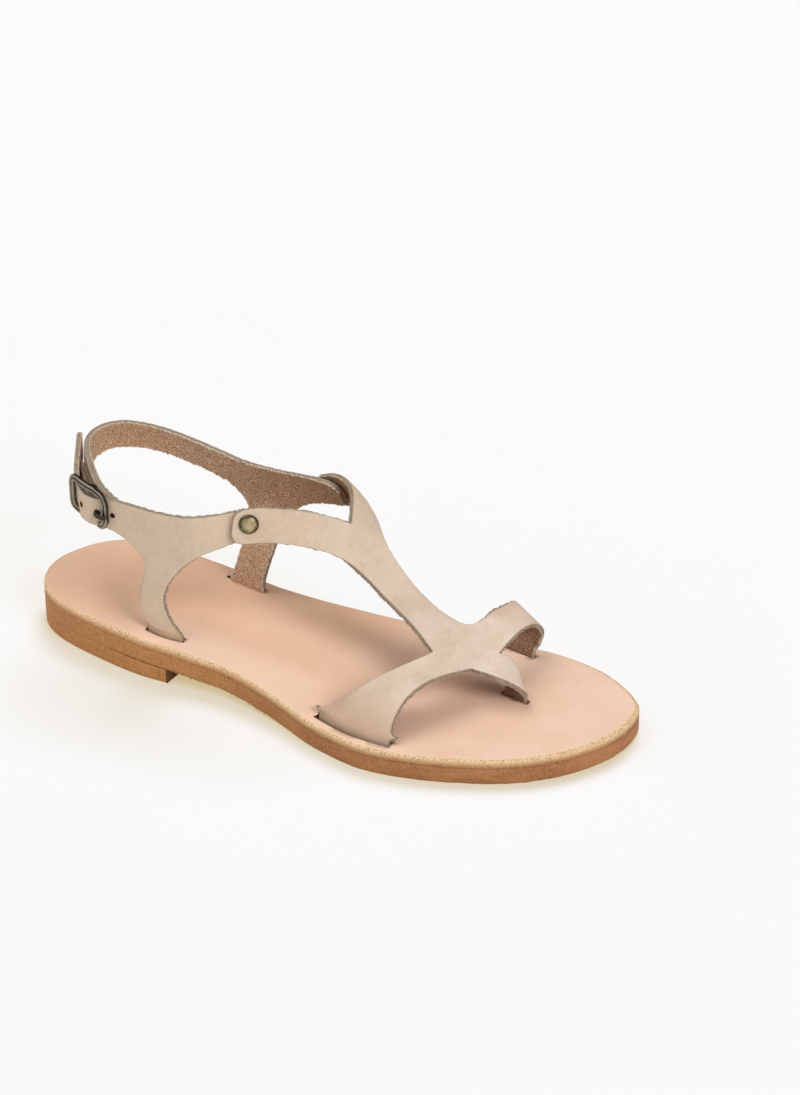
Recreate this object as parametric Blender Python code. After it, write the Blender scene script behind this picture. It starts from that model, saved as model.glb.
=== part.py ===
"""Flat leather ankle strap sandal, right shoe. X to the toe, +Y medial, -Y lateral, Z up, metres.
Tables and sizes are in millimetres."""
import bpy
from math import acos, cos, pi, radians, sin
from mathutils import Vector

MM = 0.001
# Sole sizes
SOLE_LENGTH = 248.0
HEEL_TOP = 17.3
BALL_TOP = 10.2
DROP_START = -74.0
DROP_END = 25.0
BOARD = 10.2
INSOLE = 3.6
GAP = 0.3
TOE_SPRING = 0.8
SPRING_START = 88.0
HEEL_BREAST = -49.0
BREAST_SLANT = 1.5
STATIONS = 34
HEEL_STATIONS = 18
COLUMNS = 2
# Upper sizes
LEATHER = 2.0
LAP_GAP = 0.5
SLOT_GAP = 0.3
TAB_LEATHER = 1.0
RING_X, RING_Y = -75.0, 2.75
RING_RX, RING_RY = 34.0, 28.3
SLOT_RISES = (2.4, -0.8, -INSOLE)
# Metal sizes
RIVET_CAP_R, RIVET_CAP_H = 3.7, 1.5
RIVET_SHANK_R, RIVET_BACK_R, RIVET_BACK_H = 1.3, 3.2, 0.8
HOLE_R = 1.5
BAR_R = 1.0
FRAME_HALF_W = 7.6
FRAME_RAISE = 0.2
RAIL_SHARE = 0.8
FRAME_CORNER = 2.6
BAR_DROP_W = 6.2
PRONG_R = 0.75

# Sole outline: station, lateral edge, medial edge
SOLE_ROWS = (
    (-121.5, -11.0, 12.0),
    (-115.0, -19.8, 23.0),
    (-104.0, -26.0, 29.8),
    (-86.0, -30.1, 31.6),
    (-62.0, -32.8, 31.0),
    (-40.0, -31.2, 30.2),
    (-22.0, -29.9, 32.6),
    (0.0, -34.0, 37.4),
    (22.0, -41.2, 41.6),
    (44.0, -44.6, 44.8),
    (62.0, -41.4, 47.6),
    (80.0, -34.6, 49.0),
    (97.0, -25.2, 46.9),
    (110.0, -13.5, 41.0),
    (118.5, -1.0, 34.7),
    (122.8, 9.6, 28.6),
)
HEEL_TIP_Y, TOE_TIP_Y = 0.5, 19.2

# Ankle straps: angle round the heel from the lateral side, mid height, half width, outer face from the ring
BACK_ROWS = (
    (3.0, 62.6, 5.9, -2.3),
    (12.0, 63.9, 5.9, -2.9),
    (20.0, 64.7, 5.8, -3.7),
    (28.0, 65.5, 5.8, -4.4),
    (38.0, 66.5, 5.8, -5.4),
    (50.0, 67.5, 5.8, -5.8),
    (62.0, 68.4, 5.7, -5.2),
    (76.0, 69.6, 5.7, -2.9),
    (90.0, 70.6, 5.7, -0.8),
    (104.0, 71.2, 5.6, 0.6),
    (118.0, 71.3, 5.5, 1.2),
    (132.0, 70.7, 5.4, 1.3),
    (146.0, 69.4, 5.3, 1.0),
    (160.0, 67.8, 5.2, 0.8),
    (178.0, 65.4, 5.2, 0.9),
)
FRONT_ROWS = (
    (0.0, 63.7, 6.7, 0.0),
    (8.0, 64.8, 6.3, 1.4),
    (17.0, 65.8, 6.2, 3.9),
    (26.0, 66.6, 6.2, 3.0),
    (34.0, 67.4, 6.2, 1.7),
    (43.0, 67.7, 6.2, 0.8),
    (52.0, 68.2, 6.2, 0.5),
    (62.0, 68.9, 6.2, 0.0),
    (76.0, 70.0, 6.1, 0.7),
    (90.0, 71.0, 5.9, 2.3),
    (95.0, 71.4, 4.8, 3.0),
)
BAR_ANGLE, FRONT_BAR_ANGLE, REAR_BAR_ANGLE = 18.0, 4.5, 34.0
TAB_END, TAB_RIVET, TAB_HALF, PRONG_SLOT_HALF = 58.0, 51.0, 5.6, 2.0
HOLE_ANGLES = (1.2, 12.5, 24.0)

# Straps as rows of two edge points: edge a x y z, edge b x y z
LATERAL_STEM = (
    ((-60.4, -25.6, 49.4), (-47.5, -25.6, 46.5)),
    ((-63.8, -25.6, 38.0), (-53.4, -25.6, 37.5)),
    ((-65.2, -25.6, 29.5), (-54.6, -25.6, 30.5)),
    ((-64.6, -25.5, 23.0), (-51.8, -25.5, 24.5)),
    ((-62.6, -25.4, 19.5), (-47.8, -25.5, 19.8)),
)
LATERAL_SLOT = ((-62.2, -25.2), (-46.6, -25.6))
LATERAL_TOP = ((-63.0, -25.8, 69.9), (-49.0, -24.4, 69.8))
LATERAL_FRONT = (
    ((-40.5, -22.6, 70.8), (-39.5, -24.8, 55.0)),
    ((-32.0, -17.6, 72.4), (-31.4, -20.6, 59.0)),
)
MEDIAL_STEM = (
    ((-47.6, 31.8, 48.6), (-34.2, 31.4, 46.0)),
    ((-48.4, 29.6, 38.0), (-36.0, 29.4, 38.0)),
    ((-50.0, 28.2, 31.0), (-37.6, 28.0, 31.0)),
    ((-53.2, 26.6, 24.0), (-39.6, 27.0, 24.0)),
    ((-56.0, 25.4, 20.0), (-40.8, 26.6, 20.0)),
)
MEDIAL_SLOT = ((-57.0, 25.0), (-41.0, 26.3))
MEDIAL_TOP = ((-51.0, 33.4, 66.0), (-37.0, 33.4, 66.4))
MEDIAL_BACK = (
    ((-59.0, 33.4, 66.8), (-57.6, 33.2, 55.4)),
    ((-67.5, 33.2, 68.4), (-67.5, 33.0, 57.8)),
)
MEDIAL_FRONT = (((-27.0, 32.6, 68.0), (-26.6, 32.4, 56.0)),)
# T strap: arms from the Y, the instep strap, then the band, thong and toe loop from the X
ARM_LATERAL = (
    ((2.0, 0.6, 74.0), (4.0, -4.8, 61.8)),
    ((-8.0, -6.2, 76.4), (-8.0, -10.8, 63.6)),
    ((-16.8, -11.7, 77.2), (-16.8, -14.9, 63.5)),
    ((-23.2, -15.7, 76.2), (-23.2, -18.9, 62.3)),
    ((-26.4, -18.0, 73.4), (-26.4, -20.0, 65.0)),
)
ARM_MEDIAL = (
    ((7.2, 14.8, 73.4), (13.6, 25.0, 60.0)),
    ((1.0, 24.6, 75.0), (7.2, 31.0, 61.2)),
    ((-7.2, 30.2, 74.2), (-4.0, 34.4, 59.6)),
    ((-13.2, 31.8, 72.8), (-13.0, 35.4, 59.2)),
    ((-18.8, 33.0, 69.8), (-18.6, 35.0, 62.0)),
)
Y_CROTCH = (11.4, 6.2, 69.6)
INSTEP = (
    ((14.8, 0.0, 57.0), (19.4, 18.2, 57.0)),
    ((22.8, 0.8, 50.6), (25.0, 18.2, 49.6)),
    ((31.6, 1.3, 43.4), (32.0, 18.2, 42.4)),
    ((41.4, 1.4, 37.2), (41.4, 18.0, 35.8)),
)
X_REAR_LATERAL = (50.4, 0.2, 30.6)
X_REAR_MEDIAL = (53.6, 19.2, 31.2)
X_FRONT_MEDIAL = (69.0, 16.4, 26.8)
X_FRONT_LATERAL = (66.0, 2.2, 26.2)
X_RISE = 0.8
BAND = (
    ((45.6, -9.0, 27.8), (60.4, -9.0, 27.2)),
    ((40.2, -15.6, 25.8), (56.8, -17.4, 27.2)),
    ((34.4, -22.4, 22.4), (54.0, -26.0, 24.8)),
    ((28.4, -28.8, 17.6), (53.4, -33.2, 20.4)),
    ((22.8, -33.2, 13.4), (53.8, -37.6, 14.6)),
)
BAND_BULGE = (0.0, 0.4, 0.8, 1.6, 2.6)
BAND_SLOT = ((19.8, -34.6), (54.2, -38.6))
BAND_SLOT_BULGE = 3.6
THONG = (
    ((73.6, 2.6, 24.8), (73.0, 18.0, 25.0)),
    ((80.0, 4.4, 23.2), (76.9, 18.6, 21.6)),
    ((84.8, 7.6, 19.4), (78.2, 17.6, 17.8)),
    ((85.4, 11.0, 14.4), (75.6, 15.2, 14.2)),
)
THONG_SLOT = ((84.2, 12.4), (71.8, 13.9))
LOOP = (
    ((57.0, 27.0, 31.0), (70.4, 24.0, 28.8)),
    ((58.6, 34.6, 32.4), (71.4, 34.6, 28.8)),
    ((60.6, 42.2, 33.2), (72.4, 43.2, 25.6)),
    ((61.2, 47.6, 28.6), (73.2, 47.6, 19.0)),
    ((59.2, 48.0, 20.0), (72.4, 46.8, 14.8)),
    ((58.4, 46.2, 14.4), (71.2, 44.2, 13.0)),
)
LOOP_SLOT = ((58.0, 44.8), (70.7, 42.3))

# Colours: name, base colour, roughness, metallic
COLOURS = {
    "nubuck": ((0.66, 0.53, 0.43), 0.85, 0.0),
    "insole_leather": ((0.80, 0.56, 0.42), 0.55, 0.0),
    "sole_leather": ((0.42, 0.20, 0.09), 0.7, 0.0),
    "brass": ((0.30, 0.25, 0.14), 0.4, 1.0),
    "dark_metal": ((0.12, 0.11, 0.09), 0.4, 1.0),
}

for old in list(bpy.data.objects):
    bpy.data.objects.remove(old)


def material(name):
    found = bpy.data.materials.get(name)
    if found:
        return found
    colour, rough, metal = COLOURS[name]
    made = bpy.data.materials.new(name)
    made.use_nodes = True
    shader = made.node_tree.nodes["Principled BSDF"]
    shader.inputs["Base Color"].default_value = (*colour, 1.0)
    shader.inputs["Roughness"].default_value = rough
    shader.inputs["Metallic"].default_value = metal
    return made


def hermite(knots, values, at):
    """A smooth curve through the values, one per knot."""
    last = len(knots) - 1
    i = 0
    while i < last - 1 and at > knots[i + 1]:
        i += 1

    def slope(k):
        a, b = max(k - 1, 0), min(k + 1, last)
        return (values[b] - values[a]) / (knots[b] - knots[a])

    step = knots[i + 1] - knots[i]
    t = min(max((at - knots[i]) / step, 0.0), 1.0)
    h1, h2 = 2 * t**3 - 3 * t**2 + 1, t**3 - 2 * t**2 + t
    h3, h4 = 3 * t**2 - 2 * t**3, t**3 - t**2
    return values[i] * h1 + slope(i) * (step * h2) + values[i + 1] * h3 + slope(i + 1) * (step * h4)


def turn_of(x):
    """Station as an angle, so that the rounded ends are smooth in it."""
    return acos(max(-1.0, min(1.0, -2.0 * x / SOLE_LENGTH)))


OUTLINE_KNOTS = [0.0] + [turn_of(row[0]) for row in SOLE_ROWS] + [pi]
LATERAL_EDGE = [HEEL_TIP_Y] + [row[1] for row in SOLE_ROWS] + [TOE_TIP_Y]
MEDIAL_EDGE = [HEEL_TIP_Y] + [row[2] for row in SOLE_ROWS] + [TOE_TIP_Y]


def edges_at(x):
    turn = turn_of(x)
    return hermite(OUTLINE_KNOTS, LATERAL_EDGE, turn), hermite(OUTLINE_KNOTS, MEDIAL_EDGE, turn)


ENDS = [edges_at(-0.5 * SOLE_LENGTH * cos(pi * i / 200)) for i in range(201)]
MID_Y = 0.5 * (min(e[0] for e in ENDS) + max(e[1] for e in ENDS))


def top_at(x):
    t = min(max((x - DROP_START) / (DROP_END - DROP_START), 0.0), 1.0)
    t = t * t * (3.0 - 2.0 * t)
    spring = max(x - SPRING_START, 0.0) / (0.5 * SOLE_LENGTH - SPRING_START)
    return HEEL_TOP + (BALL_TOP - HEEL_TOP) * t + TOE_SPRING * spring**2


def place(point):
    """Sole frame in millimetres to the part's frame in metres."""
    return (point[0] * MM, (point[1] - MID_Y) * MM, point[2] * MM)


def add_mesh(name, points, faces, paint):
    mesh = bpy.data.meshes.new(name)
    mesh.from_pydata([place(p) for p in points], [], faces)
    made = bpy.data.objects.new(name, mesh)
    bpy.context.collection.objects.link(made)
    made.data.materials.append(material(paint))
    return made


def helper(made):
    made.hide_render = True
    made.display_type = "WIRE"
    return made


def cut(target, cutter):
    made = target.modifiers.new("cut_" + cutter.name, "BOOLEAN")
    made.operation = "DIFFERENCE"
    made.solver = "EXACT"
    made.object = helper(cutter)


def slab(name, start, end, top, bottom, paint, stations=STATIONS):
    """A body between two height functions inside the sole outline, from station start to station end."""
    turns = [turn_of(start) + (turn_of(end) - turn_of(start)) * i / stations for i in range(stations + 1)]
    points, rings = [], []
    for turn in turns:
        x = -0.5 * SOLE_LENGTH * cos(turn)
        low, high = edges_at(x)
        count = 1 if high - low < 0.01 else COLUMNS + 1
        ring_here = []
        for height in (top, bottom):
            row = []
            for c in range(count):
                y = low + (high - low) * c / max(count - 1, 1)
                row.append(len(points))
                points.append((x + bottom_slant(height, end), y, height(x)) if turn == turns[-1] and height is bottom
                              else (x, y, height(x)))
            ring_here.append(row)
        rings.append(ring_here)
    faces = []
    for (top_a, low_a), (top_b, low_b) in zip(rings, rings[1:]):
        for c in range(COLUMNS):
            for a, b, flip in ((top_a, top_b, False), (low_a, low_b, True)):
                if len(a) == 1:
                    face = (a[0], b[c], b[c + 1])
                elif len(b) == 1:
                    face = (a[c], b[0], a[c + 1])
                else:
                    face = (a[c], b[c], b[c + 1], a[c + 1])
                faces.append(face[::-1] if flip else face)
        faces.append((top_a[0], low_a[0], low_b[0], top_b[0]))
        faces.append((top_b[-1], low_b[-1], low_a[-1], top_a[-1]))
    for (top_row, low_row), flip in ((rings[0], False), (rings[-1], True)):
        if len(top_row) > 1:
            for c in range(COLUMNS):
                face = (top_row[c], top_row[c + 1], low_row[c + 1], low_row[c])
                faces.append(face[::-1] if flip else face)
    return add_mesh(name, points, faces, paint)


def bottom_slant(height, end):
    return -BREAST_SLANT if end < 0 else 0.0


def ring(angle, out, z):
    """A point of the ankle ring, out along its normal."""
    t = radians(angle)
    normal = Vector((-sin(t) / RING_RX, -cos(t) / RING_RY)).normalized()
    flat = Vector((RING_X - RING_RX * sin(t), RING_Y - RING_RY * cos(t))) + out * normal
    return Vector((flat.x, flat.y, z))


def ring_value(rows, angle, column):
    return hermite([row[0] for row in rows], [row[column] for row in rows], angle)


def ring_row(row):
    """Upper and lower edge of a strap on the ring."""
    angle, mid, half, out = row
    return ring(angle, out, mid + half), ring(angle, out, mid - half)


def rows_of(table):
    return [(Vector(a), Vector(b)) for a, b in table]


def slot_row(slot, rise, grow=0.0):
    """An upright row in a strap's slot, at a height over the insole, longer by grow at both ends."""
    a, b = Vector(slot[0]), Vector(slot[1])
    along = (b - a).normalized() * grow
    a, b = a - along, b + along
    return Vector((a.x, a.y, top_at(a.x) + rise)), Vector((b.x, b.y, top_at(b.x) + rise))


class Sheet:
    """A strap cut from one sheet, as quads through named points, thickened by modifiers."""

    def __init__(self):
        self.points, self.faces = [], []

    def point(self, p):
        self.points.append(tuple(p))
        return len(self.points) - 1

    def row(self, edges, columns=1, bulge=0.0, outward=None):
        """Indices of a row's points from edge a to edge b, the middle moved out by the bulge."""
        a, b = edges
        marks = []
        for c in range(columns + 1):
            s = c / columns
            p = a.lerp(b, s)
            if bulge and outward is not None:
                p = p + outward * (bulge * 4.0 * s * (1.0 - s))
            marks.append(self.point(p))
        return marks

    def strip(self, rows):
        for one, two in zip(rows, rows[1:]):
            for c in range(len(one) - 1):
                self.faces.append((one[c], two[c], two[c + 1], one[c + 1]))

    def slot(self, slot, columns=1, bulge=0.0, outward=None, swap=False):
        """The rows that take a strap through its slot."""
        rows = [self.row(slot_row(slot, rise), columns, bulge, outward) for rise in SLOT_RISES]
        return [marks[::-1] for marks in rows] if swap else rows

    def make(self, name, thickness, paint, levels=2, inward=-1.0, flip=False):
        faces = [f[::-1] for f in self.faces] if flip else self.faces
        made = add_mesh(name, self.points, faces, paint)
        smooth = made.modifiers.new("smooth", "SUBSURF")
        smooth.levels = smooth.render_levels = levels
        smooth.boundary_smooth = "PRESERVE_CORNERS"
        wall = made.modifiers.new("wall", "SOLIDIFY")
        wall.thickness = thickness * MM
        wall.offset = inward
        wall.use_even_offset = True
        return made


def slot_cutter(name, slot, columns=1, bulge=0.0, outward=None, flip=False):
    """The strap's own end, grown all round, to cut its slot."""
    sheet = Sheet()
    rises = (6.0, 3.0, -INSOLE - 2.0, -INSOLE - 5.0)
    sheet.strip([sheet.row(slot_row(slot, rise, SLOT_GAP + 0.1), columns, bulge, outward) for rise in rises])
    whole = LEATHER + 2.0 * SLOT_GAP
    return sheet.make(name, whole, "nubuck", 2, 2.0 * SLOT_GAP / whole - 1.0, flip)


def disc_body(name, centre, axis, profile, paint, sides=14):
    """A turned body: profile rows are radius and height along the axis; the ends close on the axis."""
    axis = Vector(axis).normalized()
    side = axis.orthogonal().normalized()
    other = axis.cross(side)
    points, faces = [], []
    first = len(points)
    points.append(Vector(centre) + axis * profile[0][1])
    for radius, height in profile[1:-1]:
        for k in range(sides):
            t = 2 * pi * k / sides
            points.append(Vector(centre) + axis * height + (side * cos(t) + other * sin(t)) * radius)
    points.append(Vector(centre) + axis * profile[-1][1])
    rings = len(profile) - 2
    at = lambda r, k: first + 1 + r * sides + k % sides
    for k in range(sides):
        faces.append((first, at(0, k + 1), at(0, k)))
        faces.append((len(points) - 1, at(rings - 1, k), at(rings - 1, k + 1)))
        for r in range(rings - 1):
            faces.append((at(r, k), at(r, k + 1), at(r + 1, k + 1), at(r + 1, k)))
    return add_mesh(name, points, faces, paint)


def rivet(name, centre, axis, grip, cap_r=RIVET_CAP_R, cap_h=RIVET_CAP_H, lift=0.35, sink=0.5,
          back_r=RIVET_BACK_R):
    """A domed cap outside, a shank through the leathers and a flat cap inside."""
    inside = -grip - sink
    profile = [(0.0, inside - RIVET_BACK_H), (back_r * 0.8, inside - RIVET_BACK_H),
               (back_r, inside - 0.5 * RIVET_BACK_H), (back_r, inside), (RIVET_SHANK_R, inside),
               (RIVET_SHANK_R, lift), (cap_r, lift), (cap_r, lift + 0.3 * cap_h), (cap_r * 0.85, lift + 0.7 * cap_h),
               (cap_r * 0.5, lift + 0.94 * cap_h), (0.0, lift + cap_h)]
    return disc_body(name, centre, axis, profile, "brass")


def bore(name, centre, axis, radius, reach):
    return disc_body(name, centre, axis, [(0.0, -reach), (radius, -reach), (radius, reach), (0.0, reach)],
                     "brass", 12)


def tube(name, path, radii, paint, closed, sides=8, share=1.0, flat=None):
    """A bar along a path, its section narrower by the share across the flat direction's normal."""
    points, faces = [], []
    count = len(path)
    side = None
    for i, p in enumerate(path):
        before = path[(i - 1) % count] if closed or i else path[0]
        after = path[(i + 1) % count] if closed or i < count - 1 else path[-1]
        along = (after - before).normalized()
        side = along.orthogonal().normalized() if side is None else (side - along * side.dot(along)).normalized()
        if flat is not None:
            side = (flat(p) - along * flat(p).dot(along)).normalized()
        other = along.cross(side)
        for k in range(sides):
            t = 2 * pi * k / sides
            points.append(p + (side * cos(t) + other * (share * sin(t))) * radii[i])
    for i in range(count if closed else count - 1):
        j = (i + 1) % count
        shift = 0
        if closed and j == 0:
            start = points[0]
            last = points[i * sides:(i + 1) * sides]
            shift = min(range(sides), key=lambda k: (last[k] - start).length)
        for k in range(sides):
            a, b = i * sides + (k + shift) % sides, i * sides + (k + 1 + shift) % sides
            faces.append((a, b, j * sides + (k + 1) % sides, j * sides + k))
    if not closed:
        faces.append(tuple(range(sides))[::-1])
        faces.append(tuple(range((count - 1) * sides, count * sides)))
    return add_mesh(name, points, faces, paint)


# Sole
outsole = slab("outsole", -0.5 * SOLE_LENGTH, 0.5 * SOLE_LENGTH, lambda x: top_at(x) - INSOLE - GAP,
               lambda x: top_at(x) - BOARD, "sole_leather")
insole = slab("insole", -0.5 * SOLE_LENGTH, 0.5 * SOLE_LENGTH, top_at, lambda x: top_at(x) - INSOLE, "insole_leather")
heel_lift = slab("heel_lift", -0.5 * SOLE_LENGTH, HEEL_BREAST, lambda x: top_at(x) - BOARD - GAP, lambda x: 0.0,
                 "sole_leather", HEEL_STATIONS)

# T strap
arm_lateral, arm_medial = rows_of(ARM_LATERAL), rows_of(ARM_MEDIAL)
tee = Sheet()
crotch = tee.point(Y_CROTCH)
instep = [tee.row(r) for r in rows_of(INSTEP)]
tee.faces.append((instep[0][0], instep[0][1], crotch))
tee.strip([[crotch, instep[0][0]]] + [tee.row(r) for r in arm_lateral])
tee.strip([[instep[0][1], crotch]] + [tee.row((b, a)) for a, b in arm_medial])
rear_lat, rear_med = tee.point(X_REAR_LATERAL), tee.point(X_REAR_MEDIAL)
front_med, front_lat = tee.point(X_FRONT_MEDIAL), tee.point(X_FRONT_LATERAL)
mid_lat = tee.point((Vector(X_REAR_LATERAL) + Vector(X_FRONT_LATERAL)) * 0.5 + Vector((0.0, 0.0, X_RISE)))
tee.faces.append((rear_lat, mid_lat, front_lat, front_med, rear_med))
tee.strip(instep + [[rear_lat, rear_med]])
band = rows_of(BAND)
band_out = Vector((BAND_SLOT[1][1] - BAND_SLOT[0][1], BAND_SLOT[0][0] - BAND_SLOT[1][0], 0.0)).normalized()
band_marks = [[rear_lat, mid_lat, front_lat]]
for i, edges in enumerate(band):
    after = band[min(i + 1, len(band) - 1)]
    before = band[max(i - 1, 0)]
    outward = (after[0] + after[1] - before[0] - before[1]).cross(edges[1] - edges[0]).normalized()
    band_marks.append(tee.row(edges, 2, BAND_BULGE[i], outward))
tee.strip(band_marks + tee.slot(BAND_SLOT, 2, BAND_SLOT_BULGE, band_out))
tee.strip([[front_lat, front_med]] + [tee.row(r) for r in rows_of(THONG)] + tee.slot(THONG_SLOT))
tee.strip([[front_med, rear_med]] + [tee.row((b, a)) for a, b in rows_of(LOOP)] + tee.slot(LOOP_SLOT, swap=True))
t_strap = tee.make("t_strap", LEATHER, "nubuck")


def under(rows, side):
    """Rows one leather and a small gap inside the given strap rows; side is -1 lateral, 1 medial."""
    made = []
    for i, (a, b) in enumerate(rows):
        before, after = rows[max(i - 1, 0)], rows[min(i + 1, len(rows) - 1)]
        along = after[0] + after[1] - before[0] - before[1]
        inward = (b - a).cross(along).normalized()
        inward = inward if inward.y * side < 0 else -inward
        made.append((a + inward * (LEATHER + LAP_GAP), b + inward * (LEATHER + LAP_GAP)))
    return made


def lap(rows, side, short, tops):
    """The quarter's front arm under a T strap arm: rows from the arm's end forward, the last one shortened.
    Tops are the shares of the arm's half width that are kept above its middle."""
    inner = under(rows, side)
    tip = (inner[2][0].lerp(inner[1][0], short), inner[2][1].lerp(inner[1][1], short))
    made = []
    for (a, b), above, below_mid in zip((inner[3], inner[2], tip), tops, (0.86, 0.86, 0.7)):
        middle = (a + b) * 0.5
        made.append((middle.lerp(a, above), middle.lerp(b, below_mid)))
    return made


def quarter(name, stem, slot, upper, front, strap_rows, flip):
    sheet = Sheet()
    stem_marks = [sheet.row(r) for r in rows_of(stem)]
    top_rear, top_front = sheet.point(upper[0]), sheet.point(upper[1])
    rear, fore = stem_marks[0]
    sheet.faces.append((rear, fore, top_front, top_rear))
    sheet.strip(stem_marks + sheet.slot(slot))
    sheet.strip([[top_rear, rear]] + [sheet.row(r) for r in strap_rows])
    sheet.strip([[fore, top_front]] + [sheet.row((b, a)) for a, b in front])
    return sheet.make(name, LEATHER, "nubuck", flip=flip)


# Quarters
quarter_lateral = quarter("quarter_lateral", LATERAL_STEM, LATERAL_SLOT, LATERAL_TOP,
                          rows_of(LATERAL_FRONT) + lap(arm_lateral, -1, 0.55, (0.86, 0.86, 0.6)),
                          [ring_row(row) for row in FRONT_ROWS], False)
quarter_medial = quarter("quarter_medial", MEDIAL_STEM, MEDIAL_SLOT, MEDIAL_TOP,
                         rows_of(MEDIAL_FRONT) + lap(arm_medial, 1, 0.45, (0.86, 0.6, -0.1)),
                         rows_of(MEDIAL_BACK) + [ring_row(row) for row in BACK_ROWS[::-1]], True)

# Slots in the insole
for cutter in (
    slot_cutter("slot_lateral", LATERAL_SLOT),
    slot_cutter("slot_medial", MEDIAL_SLOT, flip=True),
    slot_cutter("slot_band", BAND_SLOT, 2, BAND_SLOT_BULGE, band_out),
    slot_cutter("slot_thong", THONG_SLOT),
    slot_cutter("slot_loop", LOOP_SLOT, flip=True),
):
    cut(insole, cutter)

# Rivets through the lapped arms
for name, rows, side, straps in (
    ("rivet_lateral", arm_lateral, -1, (t_strap, quarter_lateral)),
    ("rivet_medial", arm_medial, 1, (t_strap, quarter_medial)),
):
    centre = ((rows[2][0] + rows[2][1]) * 0.45 + (rows[3][0] + rows[3][1]) * 0.55) * 0.5
    outward = (rows[2][1] - rows[2][0]).cross(rows[3][0] + rows[3][1] - rows[2][0] - rows[2][1]).normalized()
    outward = outward if outward.y * side > 0 else -outward
    rivet(name, centre, outward, 2.0 * LEATHER + LAP_GAP)
    for strap in straps:
        cut(strap, bore("bore_" + name + "_" + strap.name, centre, outward, RIVET_SHANK_R + GAP, 9.0))


# Buckle on the ankle ring
def ring_normal(angle):
    return (ring(angle, 1.0, 0.0) - ring(angle, 0.0, 0.0)).normalized()


bar_mid = ring_value(FRONT_ROWS, BAR_ANGLE, 1)
bar_out = ring_value(BACK_ROWS, BAR_ANGLE, 3) + GAP + TAB_LEATHER + 0.15 + BAR_R
bar_centre = ring(BAR_ANGLE, bar_out, bar_mid)
forward = (ring(BAR_ANGLE - 2.0, 0.0, 0.0) - ring(BAR_ANGLE, 0.0, 0.0)).normalized()
outward = ring_normal(BAR_ANGLE)
fold_r = BAR_R + 0.15 + TAB_LEATHER


def tab_row(centre_line):
    marks = []
    for half in (TAB_HALF, PRONG_SLOT_HALF, -PRONG_SLOT_HALF, -TAB_HALF):
        marks.append(tab.point(centre_line + Vector((0.0, 0.0, half))))
    return marks


def tab_line(angle, lift):
    return ring(angle, ring_value(BACK_ROWS, angle, 3) + lift, ring_value(BACK_ROWS, angle, 1))


tab = Sheet()
two_up = 2.0 * GAP + 2.0 * TAB_LEATHER
tab_rows = [tab_row(tab_line(t, two_up)) for t in (TAB_END, TAB_RIVET, 43.0, 34.0)]
tab_rows.append(tab_row(tab_line(27.0, two_up + 0.6)))
tab_rows.append(tab_row(tab_line(21.5, two_up + 1.7)))
for turn in (90.0, 60.0, 30.0, 0.0, -30.0, -60.0, -90.0):
    t = radians(turn)
    tab_rows.append(tab_row(bar_centre + forward * (fold_r * cos(t)) + outward * (fold_r * sin(t))))
tab_rows += [tab_row(tab_line(t, GAP)) for t in (22.0, 28.0, 34.0, 43.0, TAB_RIVET, TAB_END)]
for i, (one, two) in enumerate(zip(tab_rows, tab_rows[1:])):
    for c in range(3):
        if c == 1 and 6 <= i <= 10:
            continue
        tab.faces.append((one[c], two[c], two[c + 1], one[c + 1]))
buckle_tab = tab.make("buckle_tab", TAB_LEATHER, "nubuck", 1, flip=True)


def rail_out(angle):
    s = (angle - FRONT_BAR_ANGLE) / (REAR_BAR_ANGLE - FRONT_BAR_ANGLE)
    front = ring_value(FRONT_ROWS, FRONT_BAR_ANGLE, 3) + 0.5 + BAR_R
    rear = ring_value(FRONT_ROWS, REAR_BAR_ANGLE, 3) + 0.5 + BAR_R
    return front + (rear - front) * s + 1.6 * s * (1.0 - s)


def rail_point(angle, up):
    return ring(angle, rail_out(angle), ring_value(FRONT_ROWS, angle, 1) + FRAME_RAISE + up)


corner_deg = FRAME_CORNER / 0.585
side_w = FRAME_HALF_W - FRAME_CORNER
frame_path = []
for angle, sign in ((FRONT_BAR_ANGLE, 1), (REAR_BAR_ANGLE, -1)):
    for up in (-side_w, -0.5 * side_w, 0.0, 0.5 * side_w, side_w):
        frame_path.append(rail_point(angle, sign * up))
    frame_path.append(rail_point(angle + sign * 0.3 * corner_deg, sign * (side_w + 0.7 * FRAME_CORNER)))
    for step in (0.0, 0.2, 0.4, 0.6, 0.8, 1.0):
        run = REAR_BAR_ANGLE - FRONT_BAR_ANGLE - 2.0 * corner_deg
        frame_path.append(rail_point(angle + sign * (corner_deg + run * step), sign * FRAME_HALF_W))
    other = REAR_BAR_ANGLE if sign > 0 else FRONT_BAR_ANGLE
    frame_path.append(rail_point(other - sign * 0.3 * corner_deg, sign * (side_w + 0.7 * FRAME_CORNER)))
frame_face = ring_normal(0.5 * (FRONT_BAR_ANGLE + REAR_BAR_ANGLE))
buckle_frame = tube("buckle_frame", frame_path, [BAR_R] * len(frame_path), "dark_metal", True, 8, RAIL_SHARE,
                    lambda p: frame_face)
half_bar = ((bar_out, 0.0), (bar_out, BAR_DROP_W), (bar_out + 0.5, FRAME_HALF_W - 0.5),
            (bar_out + 1.8, FRAME_HALF_W), (rail_out(BAR_ANGLE) + 0.3, FRAME_HALF_W))
bar_mid += FRAME_RAISE
bar_path = [ring(BAR_ANGLE, o, bar_mid - up) for o, up in half_bar[:0:-1]]
bar_path += [ring(BAR_ANGLE, o, bar_mid + up) for o, up in half_bar]
centre_bar = tube("centre_bar", bar_path, [BAR_R * 0.9] * len(bar_path), "dark_metal", False)
join = buckle_frame.modifiers.new("centre_bar", "BOOLEAN")
join.operation = "UNION"
join.solver = "EXACT"
join.object = helper(centre_bar)

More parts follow.
